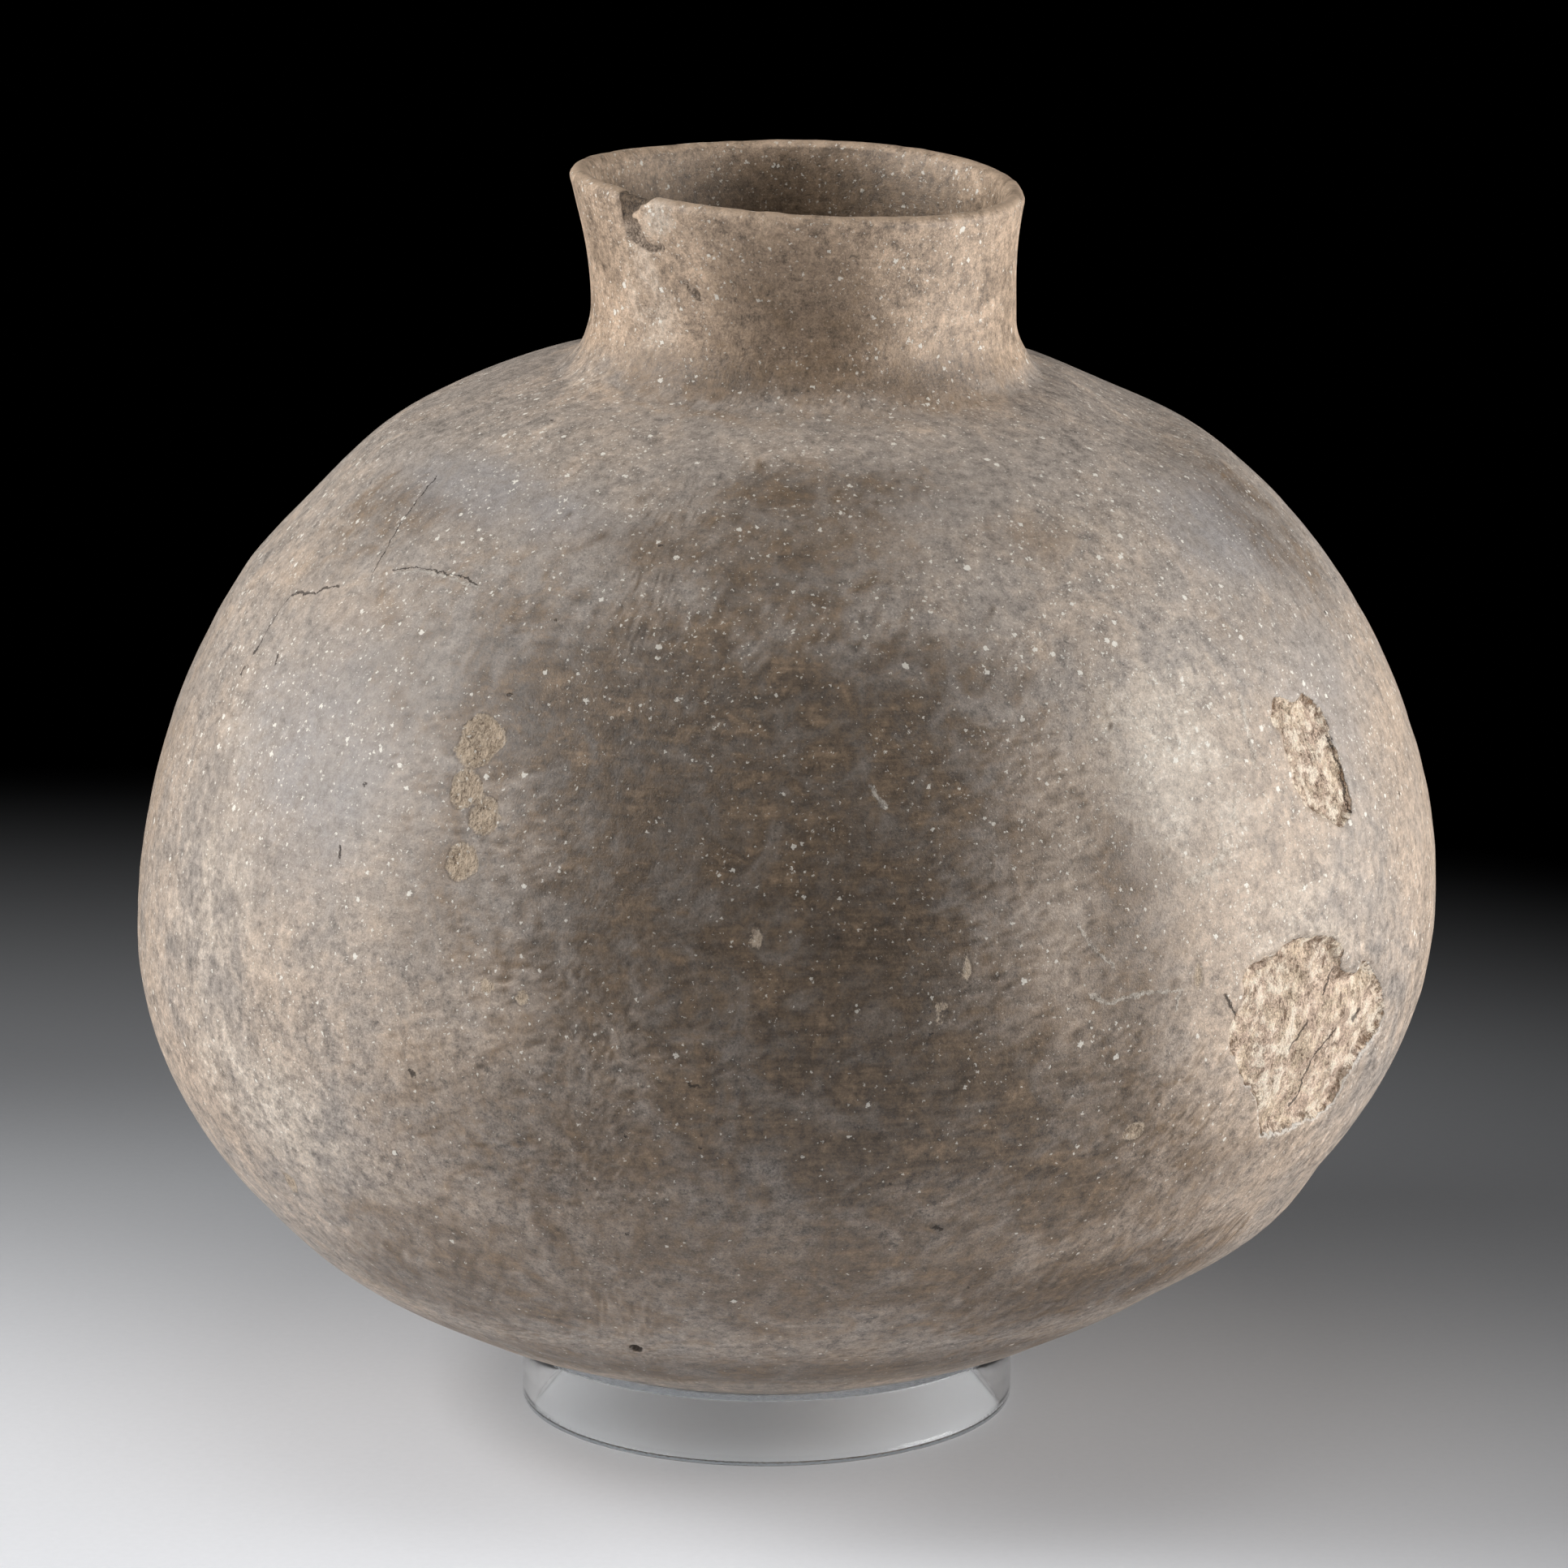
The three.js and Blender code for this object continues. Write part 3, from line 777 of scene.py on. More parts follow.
def damage(sizes, line, points):
    """Depth of the damage in the outside wall, and how far inside each kind of damage a point is,
    in millimetres."""
    depth = np.zeros(len(points))
    marks = {kind: np.full(len(points), UNTOUCHED) for kind in ("spall", "flake", "chip")}

    def cut(kind, azimuth, height, reach, shape, *numbers):
        near, flat = near_frame(points, wall_frame(sizes, line, azimuth, height), reach)
        deeper, inside = shape(flat, *numbers)
        depth[near] += deeper
        marks[kind][near] = np.maximum(marks[kind][near], inside)

    for azimuth, height, deep, corners in SPALLS:
        cut("spall", azimuth, height, SPALL_REACH, spall_damage, deep, corners, sizes.spall_roughness)
    for azimuth, height, wide, long, deep in FLAKES:
        cut("flake", azimuth, height, FLAKE_REACH, flake_damage, azimuth, wide, long, deep)
    for azimuth, height, deep, corners in CHIPS:
        cut("chip", azimuth, height, CHIP_REACH, chip_damage, azimuth, deep, corners)
    azimuth, height, across, up, deep = PIT
    near, flat = near_frame(points, wall_frame(sizes, line, azimuth, height), PIT_REACH)
    from_pit = np.linalg.norm(flat / np.array([across, up]), axis=1)
    depth[near] += deep * MM * (1 - smoothstep(from_pit, 0.7, 1.2))
    return depth, marks


# Meshes


def turned_faces(rows, columns):
    """Quads between neighbouring rows, closed round the columns, and a fan to one point at each
    end. The first point is vertex 0, the rows follow, and the last point comes last."""
    grid = 1 + np.arange(rows * columns).reshape(rows, columns)
    beside = np.roll(grid, -1, axis=1)
    quads = np.stack([grid[:-1], beside[:-1], beside[1:], grid[1:]], axis=-1).reshape(-1, 4)
    last = 1 + rows * columns
    start = np.stack([np.zeros(columns, int), beside[0], grid[0]], axis=-1)
    end = np.stack([grid[-1], beside[-1], np.full(columns, last)], axis=-1)
    return quads, np.concatenate([start, end])


def new_piece(name, vertices, quads, triangles=()):
    """A mesh object from whole arrays of vertices and faces."""
    mesh = bpy.data.meshes.new(name)
    triangles = np.array(triangles, int).reshape(-1, 3)
    corners = np.concatenate([quads.ravel(), triangles.ravel()])
    sizes = np.concatenate([np.full(len(quads), 4), np.full(len(triangles), 3)])
    starts = np.concatenate([[0], np.cumsum(sizes)[:-1]])
    mesh.vertices.add(len(vertices))
    mesh.vertices.foreach_set("co", np.ascontiguousarray(vertices, np.float32).ravel())
    mesh.loops.add(len(corners))
    mesh.loops.foreach_set("vertex_index", corners.astype(np.int32))
    mesh.polygons.add(len(sizes))
    mesh.polygons.foreach_set("loop_start", starts.astype(np.int32))
    mesh.update(calc_edges=True)
    mesh.shade_smooth()
    if mesh.validate():
        raise RuntimeError(f"{name} has faulty faces")
    piece = bpy.data.objects.new(name, mesh)
    bpy.context.scene.collection.objects.link(piece)
    return piece


def give_values(piece, name, values):
    """Stores one number for each vertex, for the material to read."""
    attribute = piece.data.attributes.new(name, "FLOAT", "POINT")
    attribute.data.foreach_set("value", values.astype(np.float32))


def jar_profile(sizes, line):
    """The jar's whole profile up the outside, over the lip and down the inside, its normals out of
    the clay, and which of its points are on the outside."""
    outside = resample(line, OUTSIDE_STEPS)
    inside = resample(inside_line(sizes, line), INSIDE_STEPS)
    lip, lip_normals = lip_line(sizes)
    profile = np.concatenate([outside, lip[1:-1], inside])
    normals = np.concatenate([normals_of(outside), lip_normals[1:-1], -normals_of(inside[::-1])[::-1]])
    return profile, normals, np.arange(len(profile)) < len(outside) + len(lip) - 2


def wear(sizes, flat, radius, height):
    """Depth worn off the outside: broad hollows left by hand, level scrapes, and the lip's edge
    rubbed down. Points are in millimetres, and the seat on the ring stays even."""
    hollows = sizes.hand_unevenness * (0.55 + 0.5 * rough(flat, 46, 2, seed=3))
    scrapes = sizes.scrape_depth * (1 + rough(flat * np.array([0.25, 0.25, 1]), 7, 2, seed=7))
    seat_start, seat_end = SEAT_EDGE
    seat = smoothstep(radius, seat_start * MM, seat_end * MM)
    rim = heights_of(sizes)[2]
    rubbed = sizes.lip_wear * smoothstep(height, rim - 2 * sizes.lip_wall, rim - sizes.lip_wall / 3)
    rubbed *= 1 + 0.9 * rough(flat * np.array([1, 1, 0.3]), 6, 3, seed=19)
    return (hollows + scrapes) * seat + rubbed


def jar_piece(sizes):
    """The jar: its profile turned round a full circle, worn and broken square to its wall, and then
    given its hand-built form."""
    line = outside_line(sizes)
    profile, normals, on_outside = jar_profile(sizes, line)
    degrees = np.linspace(-180, 180, 3601)
    columns = stations(degrees, COLUMN_STEPS, degrees)[:-1]
    rows, count = len(profile), len(columns)
    azimuth = np.tile(columns, rows)
    radius, height = (np.repeat(profile[:, axis], count) for axis in (0, 1))
    out = compass(azimuth)
    points = out * radius[:, None]
    points[:, 2] = height
    normal = out * np.repeat(normals[:, 0], count)[:, None]
    normal[:, 2] = np.repeat(normals[:, 1], count)
    is_outside = np.repeat(on_outside, count)
    flat = points / MM
    depth, marks = damage(sizes, line, points)
    marks = {name: np.where(is_outside, value, UNTOUCHED) for name, value in marks.items()}
    points -= normal * ((wear(sizes, flat, radius, height) + depth) * is_outside)[:, None]
    vertices = hand_built(sizes, points, azimuth, height)
    clouds = {
        name: cloud_field(sizes, line, places, azimuth, height, flat)
        for name, places in (
            ("dark", DARK_CLOUDS), ("mouth", MOUTH_PAINTED_SHADE), ("blue", BLUE_CLOUDS),
            ("tan", TAN_CLOUDS), ("pale", PALE_CLOUDS),
        )
    }
    # Inside, this mask holds the mouth's painted shade in place of the fire clouds
    clouds["dark"] = np.where(is_outside, clouds["dark"], clouds.pop("mouth"))
    keep = slice(count, (rows - 1) * count)
    first, last = vertices[:count].mean(0), vertices[-count:].mean(0)
    quads, triangles = turned_faces(rows - 2, count)
    piece = new_piece("clay_jar", np.vstack([first, vertices[keep], last]), quads, triangles)
    values = {**marks, **clouds, "inside": 1 - is_outside, "height": height / MM}
    for name, value in values.items():
        give_values(piece, name, np.concatenate([value[:1], value[keep], value[-1:]]))
    return piece


def ring_piece(sizes):
    """The clear ring: a rectangle with rounded corners, turned round a full circle."""
    steps, columns = 5, 360
    inner, outer = sizes.outer_radius - sizes.wall, sizes.outer_radius
    turns = np.linspace(0, math.pi / 2, steps)
    corners = (
        (outer - sizes.bevel, sizes.bevel, -math.pi / 2),
        (outer - sizes.bevel, sizes.height - sizes.bevel, 0),
        (inner + sizes.bevel, sizes.height - sizes.bevel, math.pi / 2),
        (inner + sizes.bevel, sizes.bevel, math.pi),
    )
    profile = np.concatenate([
        np.stack([
            radius + sizes.bevel * np.cos(turns + start),
            height + sizes.bevel * np.sin(turns + start),
        ], axis=1)
        for radius, height, start in corners
    ])
    out = compass(np.arange(columns) * 360 / columns)
    vertices = profile[:, None, :1] * out[None]
    vertices[..., 2] = profile[:, None, 1]
    vertices += np.array([RING_CENTRE_X, RING_CENTRE_Y, 0])
    grid = np.arange(len(profile) * columns).reshape(len(profile), columns)
    beside, above = np.roll(grid, -1, axis=1), np.roll(grid, -1, axis=0)
    quads = np.stack([grid, beside, np.roll(beside, -1, axis=0), above], axis=-1).reshape(-1, 4)
    piece = new_piece("clear_ring", vertices.reshape(-1, 3), quads)
    piece.data.set_sharp_from_angle(angle=math.radians(30))
    return piece


# Materials


class Wire:
    """A socket of a node tree. Arithmetic on wires adds Math nodes, and node adds any other."""

    def __init__(self, tree, socket=None):
        self.tree = tree
        self.socket = socket

    def node(self, kind, inputs, output=0, **settings):
        """Adds a node, sets it up, and gives its inputs values or wires. Returns an output."""
        made = self.tree.nodes.new(kind)
        for name, value in settings.items():
            setattr(made, name, value)
        for key, value in inputs.items():
            if isinstance(value, Wire):
                self.tree.links.new(value.socket, made.inputs[key])
            else:
                made.inputs[key].default_value = value
        return Wire(self.tree, made.outputs[output]) if len(made.outputs) else None

    def other(self, output):
        """Another output of the same node."""
        return Wire(self.tree, self.socket.node.outputs[output])

    def math(self, operation, *others):
        """A Math node on this number and others."""
        return self.node("ShaderNodeMath", dict(enumerate((self, *others))), operation=operation)

    def __add__(self, other):
        return self.math("ADD", other)

    def __sub__(self, other):
        return self.math("SUBTRACT", other)

    def __rsub__(self, other):
        return self.node("ShaderNodeMath", {0: other, 1: self}, operation="SUBTRACT")

    def __mul__(self, other):
        return self.math("MULTIPLY", other)

    def __truediv__(self, other):
        return self.math("DIVIDE", other)

    def __pow__(self, other):
        return self.math("POWER", other)

    __radd__ = __add__
    __rmul__ = __mul__

    def clamp(self):
        """This number, kept between 0 and 1."""
        return self.node("ShaderNodeClamp", {0: self})

    def at_least(self, least):
        """This number or another, whichever is larger."""
        return self.math("MAXIMUM", least)

    def crest(self, sharpness):
        """1 where this number is 0, and falling to 0 on both sides of that."""
        return (1 - self.math("ABSOLUTE") * sharpness).clamp()

    def smooth(self, low, high, start=0.0, end=1.0):
        """Smooth step from start at low to end at high."""
        ends = {"Value": self, "From Min": low, "From Max": high, "To Min": start, "To Max": end}
        return self.node("ShaderNodeMapRange", ends, interpolation_type="SMOOTHSTEP")

    def between(self, first, second):
        """A colour between two plain ones: the first where this number is 0, the second at 1."""
        colours = {0: self, 6: (*first, 1), 7: (*second, 1)}
        return self.node("ShaderNodeMix", colours, output=2, data_type="RGBA")

    def fade(self, other, amount):
        """This colour where the amount is 0, and another, plain or wired, where it is 1."""
        other = other if isinstance(other, Wire) else (*other, 1)
        colours = {0: amount, 6: self, 7: other}
        return self.node("ShaderNodeMix", colours, output=2, data_type="RGBA")

    def tinted(self, value):
        """This colour made lighter or darker by a number round 1."""
        grey = self.node("ShaderNodeCombineXYZ", {0: value, 1: value, 2: value})
        return self.vector("MULTIPLY", grey)

    def vector(self, operation, *others, output=0):
        """A Vector Math node on this place or colour and others."""
        values = dict(enumerate((self, *others)))
        return self.node("ShaderNodeVectorMath", values, output=output, operation=operation)

    def along(self, direction):
        """How far this place lies along a direction."""
        return self.vector("DOT_PRODUCT", tuple(direction), output="Value")

    def stretched(self, x, y, z):
        """This place scaled along each axis."""
        return self.vector("MULTIPLY", (x, y, z))

    def moved(self, x, y, z):
        """This place moved, so that the same noise gives another pattern."""
        return self.vector("ADD", (x, y, z))

    def grain(self, size, detail, roughness, distortion=0.0):
        """Noise of a given size in the units of this place, mostly between -1 and 1."""
        inputs = {
            "Vector": self, "Scale": 1 / size, "Detail": detail, "Roughness": roughness,
            "Distortion": distortion,
        }
        return (self.node("ShaderNodeTexNoise", inputs) - 0.5) * 4

    def specks(self, size, share, least, most, soft):
        """Grains scattered one to a cell: a share of the cells holds one, its radius is between the
        least and the most, in cells, and its edge is soft over a share of that radius."""
        cell = self.node("ShaderNodeTexVoronoi", {"Vector": self, "Scale": 1 / size})
        lot = self.node("ShaderNodeSeparateXYZ", {0: cell.other("Color")})
        present = lot.math("LESS_THAN", share)
        radius = lot.other("Y") * (most - least) + least
        return (1 - cell.smooth(radius * (1 - soft), radius)) * present

    def near_line(self, points):
        """Distance to a line through points, as the least distance to its straight stretches."""
        nearest = None
        for start, end in zip(points[:-1], points[1:]):
            side = np.array(end) - np.array(start)
            offset = self.vector("SUBTRACT", tuple(start))
            share = offset.along(side / (side @ side)).clamp()
            foot = self.node(
                "ShaderNodeVectorMath", {0: tuple(side), "Scale": share}, operation="SCALE"
            )
            distance = offset.vector("DISTANCE", foot, output="Value")
            nearest = distance if nearest is None else nearest.math("MINIMUM", distance)
        return nearest


def new_material(name):
    """A material with an empty tree, and a wire to start from."""
    material = bpy.data.materials.new(name)
    material.use_nodes = True
    tree = material.node_tree
    tree.nodes.clear()
    return material, Wire(tree)


def finish_material(start, surface):
    """Links a shader to the material's output."""
    start.node("ShaderNodeOutputMaterial", {"Surface": surface})


def place_in_millimetres(start):
    """The place on the piece, in millimetres."""
    return start.node("ShaderNodeTexCoord", {}, output="Object").stretched(1 / MM, 1 / MM, 1 / MM)


def value_of(start, name):
    """A number stored on the piece's vertices."""
    return start.node("ShaderNodeAttribute", {}, output="Fac", attribute_name=name)


def bumped(start, relief):
    """Normals bent by a relief in millimetres."""
    return start.node("ShaderNodeBump", {"Strength": 1.0, "Distance": MM, "Height": relief})


def laid_flat(sizes, groups):
    """Groups of lines on the wall, each as the middle of its patch in millimetres, the unit vectors
    across, up and outward there, and its lines as width and points across and up."""
    line = outside_line(sizes)
    patches = []
    for lines in groups:
        azimuth, height = np.mean([place for width, places in lines for place in places], axis=0)
        frame_on_wall = wall_frame(sizes, line, azimuth, height)
        middle = on_wall(sizes, line, azimuth, height) / MM
        flat = [
            (width, [
                tuple((on_wall(sizes, line, *place) / MM - middle) @ np.stack(frame_on_wall[1:3], 1))
                for place in places
            ])
            for width, places in lines
        ]
        patches.append((middle, *frame_on_wall[1:], flat))
    return patches


def clefts_of_spalls(sizes):
    """The clefts, which are written across and up already, with the patch of wall of each spall."""
    line = outside_line(sizes)
    patches = []
    for (azimuth, height, *_), lines in zip(SPALLS, CLEFTS):
        frame_on_wall = wall_frame(sizes, line, azimuth, height)
        patches.append((on_wall(sizes, line, azimuth, height) / MM, *frame_on_wall[1:], lines))
    return patches


def flat_place(grains, middle, across, up, outward):
    """A place laid flat on the wall round a middle: millimetres across and up, and 1 on the outside
    of that side of the jar."""
    offset = grains.place.vector("SUBTRACT", tuple(middle))
    near = offset.along(outward).math("GREATER_THAN", -PATCH_DEPTH) * (1 - grains.inside)
    return offset.along(across), offset.along(up), near


def line_marks(grains, patches):
    """1 on crooked lines of uneven width, and 0 elsewhere."""
    marks = None
    sway = grains.place.grain(2.6, 4, 0.7) * 0.9
    jitter = grains.place.moved(40, 3, 11).grain(2.6, 4, 0.7) * 0.9
    for middle, across, up, outward, lines in patches:
        x, y, near = flat_place(grains, middle, across, up, outward)
        flat = x.node("ShaderNodeCombineXYZ", {0: x + sway, 1: y + jitter})
        for width, points in lines:
            gap = flat.near_line([(*point, 0) for point in points])
            open_width = ((grains.gravel * 1.1 + 0.9) * width).at_least(LEAST_CRACK)
            mark = (1 - (gap / open_width).smooth(0.4, 1.3)) * near
            marks = mark if marks is None else marks.at_least(mark)
    return marks


def pit_mark(grains, sizes):
    """1 in the drilled pit, and 0 elsewhere."""
    azimuth, height, wide, tall = PIT[:4]
    line = outside_line(sizes)
    middle = on_wall(sizes, line, azimuth, height) / MM
    x, y, near = flat_place(grains, middle, *wall_frame(sizes, line, azimuth, height)[1:])
    x, y = x / wide, y / tall
    away = (x * x + y * y) ** 0.5 + grains.fine * 0.08
    return away.smooth(1.3, 1.0) * near


def clay_grains(start):
    """The noises and stored numbers that the layers of the clay share. Sizes are in millimetres."""
    place = place_in_millimetres(start)
    return types.SimpleNamespace(
        place=place,
        broad=place.grain(42, 3, 0.55),
        patch=place.grain(18, 7, 0.6, 1.1),
        stain=place.moved(7, 80, 33).grain(7.5, 7, 0.66, 0.8),
        mottle=place.grain(3.0, 5, 0.72, 0.3),
        fine=place.grain(0.7, 3, 0.85),
        strokes=place.stretched(0.06, 0.06, 1).grain(1.7, 4, 0.65),
        gravel=place.moved(50, 9, 2).grain(4.5, 6, 0.72),
        fibre=place.stretched(1, 1, 0.5).grain(1.8, 4, 0.75, 0.8),
        **{name: value_of(start, name) for name in VERTEX_VALUES},
    )


def clay_body(grains, look):
    """Burnished clay: grey to tan in ragged patches, the warmer neck, chalky and bluish films."""
    warmth = grains.broad * 0.4 + grains.patch * 0.38 + grains.stain * 0.12 + grains.tan * 0.9
    warmth = warmth + grains.height.smooth(*COOL_SHOULDER, -0.12, 0.15)
    body = warmth.smooth(-0.4, 0.85).between(look.grey, look.tan)
    browner = (grains.patch + grains.fine * 0.3).smooth(-1.1, 0.6, 0.8, 0)
    on_neck = (grains.height + grains.patch * 5).smooth(*WARM_NECK)
    body = body.fade(browner.between(look.neck, look.olive), on_neck * 0.9)
    haze = grains.pale * 1.1 + grains.patch * 0.4 + grains.stain * 0.25 + grains.mottle * 0.15 - 0.15
    haze = (haze + grains.patch.crest(14) * grains.pale * 0.8).smooth(0, 1)
    body = body.fade(look.pale, haze * 0.8)
    wisps = (grains.stain + 0.05).crest(9) * (grains.patch * 1.4 + grains.mottle * 0.5).smooth(0.0, 0.6)
    body = body.fade(look.speck, wisps * grains.pale.smooth(0.1, 0.7) * 0.4)
    cool = (grains.blue * (grains.patch * 0.7 + 1) + grains.mottle * 0.15).smooth(0.1, 0.95)
    body = body.fade(look.blue, cool * 0.75)
    return body.fade(look.brown, grains.stain.smooth(0.1, 0.8) * 0.19)


def fire_clouds_and_painted_shade(grains, look, body):
    """Smoke that blackened the clay, with browner patches and level strokes of the burnishing; inside
    the mouth and towards the sides' edges the same mask lays painted shade.
    """
    ragged = grains.patch * 0.5 + grains.stain * 0.2 + grains.mottle * 0.14 + grains.strokes * 0.04
    # Painted shade where the mask holds it: inside the mouth and towards the sides' edges
    soot_and_shade = (grains.dark + ragged * grains.dark.smooth(0, 0.4, 0.1, 0.75)).smooth(0.05, 0.9)
    streaks = grains.strokes * grains.dark.smooth(0.3, 0.8, 0.08, 0.36)
    brown = (grains.stain * 0.55 + streaks + grains.patch * 0.5 + grains.mottle * 0.2).smooth(-0.5, 1.15)
    brown = (brown + grains.height.smooth(*BROWN_NECK) * 0.5).clamp()
    return body.fade(brown.between(look.smoke_and_shade, look.brown), soot_and_shade)


def mouth_brown_and_painted_shade(grains, look, body):
    """Brown clay down the inside of the mouth, and painted shade darkening it deeper down."""
    brown = (grains.height + grains.mottle * 3).smooth(*BROWN_MOUTH)
    body = body.fade(look.brown, grains.inside * brown * 0.65)
    # Painted shade, darker deeper inside the mouth
    return body.fade(look.smoke_and_shade, grains.inside * grains.height.smooth(*PAINTED_SHADE_IN_MOUTH) * 0.8)


def mottled(grains, body):
    """Lighter and darker clay at every scale, stronger low down and calmer under the films."""
    calm = 1 - (grains.blue * 0.5 + grains.pale * 0.15).clamp() + grains.height.smooth(*LIVELY_NECK) * 0.2
    strength = (grains.dark * 0.1 + grains.height.smooth(*LIVELY_BASE, 1.0, 1.3)) * calm
    contrast = grains.fine * 0.36 + grains.mottle * 0.49 + grains.strokes * 0.1
    contrast = contrast + grains.stain * 0.23 + grains.patch * 0.2
    return body.tinted((contrast * strength + 1).at_least(0.3))


def flakes_layer(grains, look, body):
    """Granular flakes with a pale edge and a darker outline, which is painted shade along the flake's
    step. Returns the colour, and 1 on flakes.
    """
    flaked = (grains.flake + grains.mottle * 0.7 + grains.fine * 0.3).smooth(-0.15, 0.4)
    granular = grains.fibre * 1.1 + grains.fine * 0.8 + grains.gravel * 0.4
    chalk = granular.smooth(-1.15, 0.55).between(look.brown, look.buff).tinted(1 - grains.dark * 0.2)
    body = body.fade(chalk, flaked * 0.85)
    ledge = (grains.flake + grains.mottle * 0.5 - 0.5).crest(1.8) * (grains.gravel * 0.8 + 0.5).clamp()
    body = body.fade(look.pale, ledge * 0.45)
    # Painted shade: a patchy dark band along the flake's outline
    outline = (grains.flake + grains.mottle * 0.4 + 0.2).crest(1.8)
    patchy_shade = (grains.stain + grains.gravel * 0.5 + 0.35).clamp()
    return body.fade(look.smoke_and_shade, outline * patchy_shade * 0.8), flaked


def temper_specks(grains):
    """Pale grains of temper, crowded on the shoulder in drifts, sparse in the dark and low down,
    and the small holes where grains fell out."""
    drift = (grains.broad * 0.8 + grains.patch * 0.7 + 0.7).clamp()
    crowd = grains.height.smooth(*TEMPER_RISE, 0.25, 1.25) * drift * (1 - grains.dark * 0.7)
    crowd = crowd + grains.inside * 0.4
    shake = grains.place.node(
        "ShaderNodeTexNoise", {"Vector": grains.place, "Scale": 1.3, "Detail": 2.0}, output="Color"
    )
    shaken = grains.place.vector("ADD", shake.stretched(1.8, 1.8, 1.8))
    coarse = shaken.moved(64, 8, 77).specks(5.5, crowd * crowd, 0.07, 0.2, 0.2)
    medium = shaken.specks(2.6, crowd, 0.09, 0.24, 0.3)
    small = shaken.moved(31, 17, 5).specks(1.5, crowd, 0.1, 0.3, 0.4)
    dust = grains.fine.smooth(0.42, 1.0) * (crowd * 0.6 + 0.25)
    holes = shaken.moved(3, 91, 47).specks(11, 0.3, 0.02, 0.075, 0.5)
    return (coarse + medium * 0.9 + small * 0.7 + dust * 0.4).clamp(), holes


def chips_layer(grains, look, body):
    """Rough chips of the lip, sooty at the top. Returns the colour, and 1 on the chips."""
    chipped = (grains.chip + grains.mottle * 0.5 + grains.fine * 0.3).smooth(-0.15, 0.4)
    grit = (grains.fibre * 0.7 + grains.fine * 0.9 + grains.gravel * 0.6).smooth(-0.7, 0.7)
    sooty = (grains.height + grains.mottle * 2).smooth(*SOOTY_CHIP)
    scar = grit.between(look.smoke_and_shade, look.tan).fade(grit.between(look.crack, look.brown), sooty)
    return body.fade(scar, chipped * 0.9), chipped


def spalls_layer(grains, look, body):
    """Broken faces, lumpy with brown crevices that are partly painted shade, and painted shade just
    inside the outline. Returns the colour, and 1 on the faces and in their hollows."""
    fine, gravel, fibre = grains.fine, grains.gravel, grains.fibre
    edge = grains.spall + fine * 0.25 + grains.mottle * 0.45
    broken = edge.smooth(-0.1, 0.2)
    crevices = (gravel + 0.12).crest(6) * fibre.smooth(-0.2, 0.5)
    # Painted shade: the hollows are darkest just inside the outline, under the step of the break
    hollows = (edge.smooth(4, 0.4) * 0.35 - gravel * 0.9 - fibre * 0.6).smooth(0.2, 0.85)
    deep = hollows.at_least(crevices * 0.8)
    buff = (grains.stain * 1.2 + gravel * 0.4).smooth(-0.5, 0.6).between(look.pink, look.buff)
    buff = buff.fade(look.pale_buff, (grains.patch * 0.6 + gravel).smooth(-0.1, 0.6) * 0.8)
    buff = buff.fade(look.buff_shade, deep * 0.85)
    body = body.fade(buff.tinted(fibre * 0.16 + gravel * 0.2 + fine * 0.4 + 1.16), broken)
    torn = edge.smooth(-0.7, -0.1) * (1 - broken) * grains.height.smooth(*TORN_EDGE, 0.1, 0.5)
    return body.fade(look.speck, torn), broken, deep


def clay_material(look, sizes):
    """Fired clay in layers: mottled body, fire clouds and painted shade, temper, wear, damage, cracks and
    relief.
    """
    material, start = new_material("fired_clay")
    grains = clay_grains(start)
    fine, mottle, gravel, fibre = grains.fine, grains.mottle, grains.gravel, grains.fibre
    body = fire_clouds_and_painted_shade(grains, look, clay_body(grains, look))
    body = mottled(grains, mouth_brown_and_painted_shade(grains, look, body))
    body, flaked = flakes_layer(grains, look, body)
    temper, holes = temper_specks(grains)
    body = body.fade(look.speck, temper * (1 - grains.dark * 0.4) * 0.9)
    body = body.fade(look.crack, holes * 0.75)
    lip = (grains.height + mottle * 0.8 + grains.patch).smooth(*WORN_LIP)
    body = body.fade(look.rim, lip * (grains.patch * 0.5 + 0.5).clamp())
    body, chipped = chips_layer(grains, look, body)
    body, broken, deep = spalls_layer(grains, look, body)
    scratches = line_marks(grains, laid_flat(sizes, SCRATCHES))
    scuffed = scratches * (mottle * 0.9 + fine * 0.6 + 0.6).clamp()
    body = body.fade(look.speck, scuffed * 0.4)
    cracks = line_marks(grains, laid_flat(sizes, CRACKS) + clefts_of_spalls(sizes))
    cracks = cracks.at_least(pit_mark(grains, sizes))
    body = body.fade(look.crack, cracks * 0.8)

    # Relief, in millimetres
    relief = fine * 0.04 + grains.strokes * 0.03 + mottle * 0.06 + temper * 0.05
    relief = relief - holes * 0.4 - cracks * 0.5 + scuffed * 0.12
    relief = relief + (fibre * 0.2 + gravel * 0.7 - deep * 0.7) * broken
    relief = relief + (fibre * 0.35 + gravel * 0.3) * chipped + (gravel * 0.45 + fibre * 0.3) * flaked
    dull = broken * 0.4 + chipped * 0.3 + flaked * 0.2 + cracks * 0.3
    polish = (dull + look.polish + mottle * 0.04 + fine * 0.06 - grains.strokes * 0.03).clamp()
    surface = start.node("ShaderNodeBsdfPrincipled", {
        "Base Color": body, "Roughness": polish, "Normal": bumped(start, relief),
    })
    finish_material(start, surface)
    return material


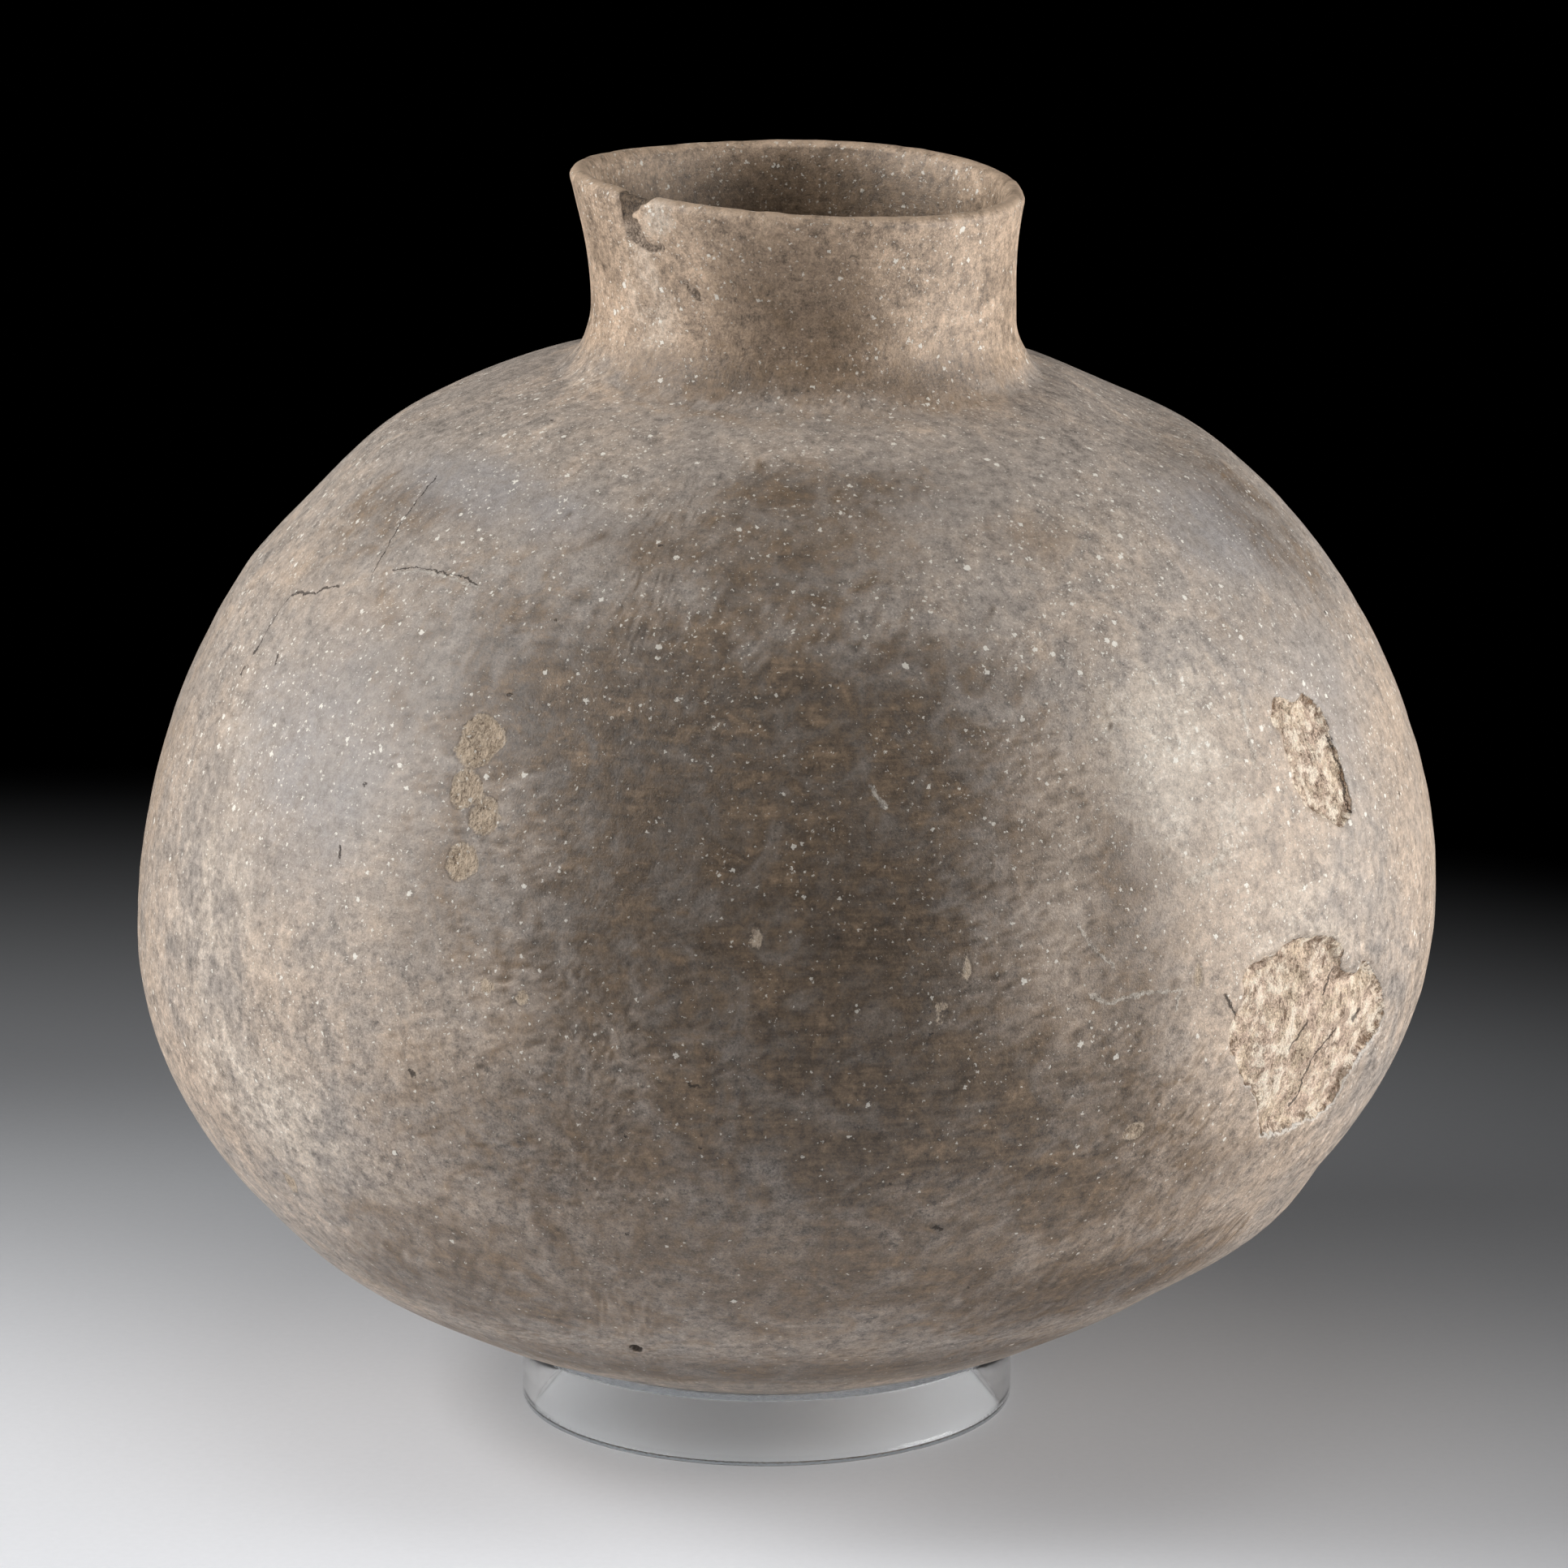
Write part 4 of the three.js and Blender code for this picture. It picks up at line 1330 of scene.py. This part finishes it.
def acrylic_material(look):
    """Clear cast plastic with the faintest of scuffs, and the uneven edges that the saw left."""
    material, start = new_material("clear_acrylic")
    top = look.height / MM
    place = place_in_millimetres(start)
    haze = place.grain(1.4, 3, 0.6).smooth(0.5, 1.2) * 0.06 + look.polish
    height = start.node("ShaderNodeSeparateXYZ", {0: place}, output="Z")
    sawn = (height.smooth(1.4, 0.5) + height.smooth(top - 1.2, top - 0.4)).clamp()
    relief = place.grain(9, 1, 0.5) * 0.005 + place.grain(1.1, 3, 0.7) * sawn * 0.05
    solid = start.node("ShaderNodeBsdfPrincipled", {
        "Base Color": (*look.tint, 1), "Roughness": haze, "IOR": ACRYLIC_IOR,
        "Transmission Weight": 1.0, "Normal": bumped(start, relief),
    })
    open_way = start.node("ShaderNodeBsdfTransparent", {"Color": (*look.tint, 1)})
    shadow = start.node("ShaderNodeLightPath", {}, output="Is Shadow Ray")
    surface = start.node("ShaderNodeMixShader", {0: shadow, 1: solid, 2: open_way})
    finish_material(start, surface)
    return material


# Stage


def floor_material(look):
    """Pale floor with a painted pool of light: its colour fades to dark away from the pool for the
    camera, and stays pale for other light.
    """
    material, start = new_material("studio_floor")
    away = start.node("ShaderNodeTexCoord", {}, output="Object").vector(
        "DISTANCE", PAINTED_POOL_CENTRE, output="Value"
    )
    # Painted light: the floor's colour fades with distance from the pool's middle
    painted_pool = away.smooth(look.painted_pool_start, look.painted_pool_end, 1 - look.far_painted_light, 0.0)
    painted_light = painted_pool + away.smooth(look.far_painted_light_start, look.far_painted_light_end, look.far_painted_light, 0.0)
    rays = start.node("ShaderNodeLightPath", {}, output="Is Camera Ray")
    seen = (rays + rays.other("Is Glossy Ray") + rays.other("Is Transmission Ray")).clamp()
    amount = 1 - seen * (1 - painted_light)
    speckle = place_in_millimetres(start).grain(2.5, 3, 0.6) * 0.015 + 1
    surface = start.node("ShaderNodeBsdfPrincipled", {
        "Base Color": amount.between((0, 0, 0), look.floor).tinted(speckle),
        "Roughness": 0.8, "Specular IOR Level": 0.0,
    })
    finish_material(start, surface)
    return material


def add_lamp(name, watts, width, height, place, target):
    """A rectangular soft box that faces a target."""
    light = bpy.data.lights.new(name, "AREA")
    light.shape = "RECTANGLE"
    light.size = width
    light.size_y = height
    light.energy = watts
    lamp = bpy.data.objects.new(name, light)
    lamp.location = place
    toward = Vector(target) - Vector(place)
    lamp.rotation_euler = toward.to_track_quat("-Z", "Y").to_euler()
    bpy.context.scene.collection.objects.link(lamp)


def dark_world(look):
    """Black for the camera and a little even fill for everything else."""
    world = bpy.data.worlds.new("studio_dark")
    world.use_nodes = True
    tree = world.node_tree
    tree.nodes.clear()
    start = Wire(tree)
    rays = start.node("ShaderNodeLightPath", {}, output="Is Camera Ray")
    seen = (rays + rays.other("Is Transmission Ray")).clamp()
    background = start.node("ShaderNodeBackground", {0: (1, 1, 1, 1), 1: (1 - seen) * look.fill})
    start.node("ShaderNodeOutputWorld", {"Surface": background})
    bpy.context.scene.world = world


def add_camera(look):
    """Camera at the photograph's viewing angle, level from side to side."""
    data = bpy.data.cameras.new("photo_camera")
    data.sensor_width = SENSOR_WIDTH
    data.lens = look.camera_lens
    data.clip_end = CAMERA_REACH
    camera = bpy.data.objects.new("photo_camera", data)
    camera.location = (
        RING_CENTRE_X + look.camera_offset, RING_CENTRE_Y - look.camera_distance, look.camera_height,
    )
    camera.rotation_euler = (math.pi / 2 - look.camera_pitch, 0, 0)
    bpy.context.scene.collection.objects.link(camera)
    bpy.context.scene.camera = camera


# Operators


class OLLA_OT_build_jar(bpy.types.Operator):
    """Build the clay jar and its fired finish"""

    bl_idname = "olla.build_jar"
    bl_label = "Build Jar"

    def execute(self, context):
        sizes = context.scene.olla_jar
        piece = jar_piece(sizes)
        piece.data.materials.append(clay_material(context.scene.olla_clay, sizes))
        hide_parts("olla")
        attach(piece, "jar")
        return {"FINISHED"}


class OLLA_OT_build_ring(bpy.types.Operator):
    """Build the clear ring that the jar stands in"""

    bl_idname = "olla.build_ring"
    bl_label = "Build Ring"

    def execute(self, context):
        look = context.scene.olla_ring
        piece = ring_piece(look)
        piece.data.materials.append(acrylic_material(look))
        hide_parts("display_ring")
        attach(piece, "stand")
        return {"FINISHED"}


class OLLA_OT_build_stage(bpy.types.Operator):
    """Build the floor, the lamps, the world and the camera"""

    bl_idname = "olla.build_stage"
    bl_label = "Build Stage"

    def execute(self, context):
        look = context.scene.olla_stage
        corners = np.array([(-1, -1, 0), (1, -1, 0), (1, 1, 0), (-1, 1, 0)]) * FLOOR_REACH
        floor = new_piece("floor", corners, np.array([[0, 1, 2, 3]]))
        floor.data.materials.append(floor_material(look))
        for side, width, height, place in SOFT_BOXES:
            watts = getattr(look, f"{side}_lamp")
            add_lamp(f"{side}_soft_box", watts, width, height, place, LAMP_TARGET)
        dark_world(look)
        add_camera(look)
        context.scene.view_settings.view_transform = "Standard"
        return {"FINISHED"}


class OLLA_PT_panel(bpy.types.Panel):
    """Sizes, colours and steps of the olla"""

    bl_idname = "OLLA_PT_panel"
    bl_label = "Olla"
    bl_space_type = "VIEW_3D"
    bl_region_type = "UI"
    bl_category = "Olla"

    def draw(self, context):
        for operator in BUILD_STEPS:
            self.layout.operator(operator.bl_idname)
        for pointer, group in SETTINGS.items():
            box = self.layout.box()
            for name in group.__annotations__:
                box.prop(getattr(context.scene, pointer), name)


SETTINGS = {
    "olla_jar": OllaJarSizes,
    "olla_clay": OllaClayLook,
    "olla_ring": OllaRingSizes,
    "olla_stage": OllaStageLook,
}
BUILD_STEPS = (OLLA_OT_build_jar, OLLA_OT_build_ring, OLLA_OT_build_stage)
CLASSES = (*SETTINGS.values(), *BUILD_STEPS, OLLA_PT_panel)


def register():
    for item in CLASSES:
        bpy.utils.register_class(item)
    for pointer, group in SETTINGS.items():
        setattr(bpy.types.Scene, pointer, bpy.props.PointerProperty(type=group))


def unregister():
    for pointer in SETTINGS:
        delattr(bpy.types.Scene, pointer)
    for item in reversed(CLASSES):
        bpy.utils.unregister_class(item)


def main():
    register()
    bpy.ops.olla.build_jar()
    bpy.ops.olla.build_ring()
    bpy.ops.olla.build_stage()


if __name__ == "__main__":
    main()
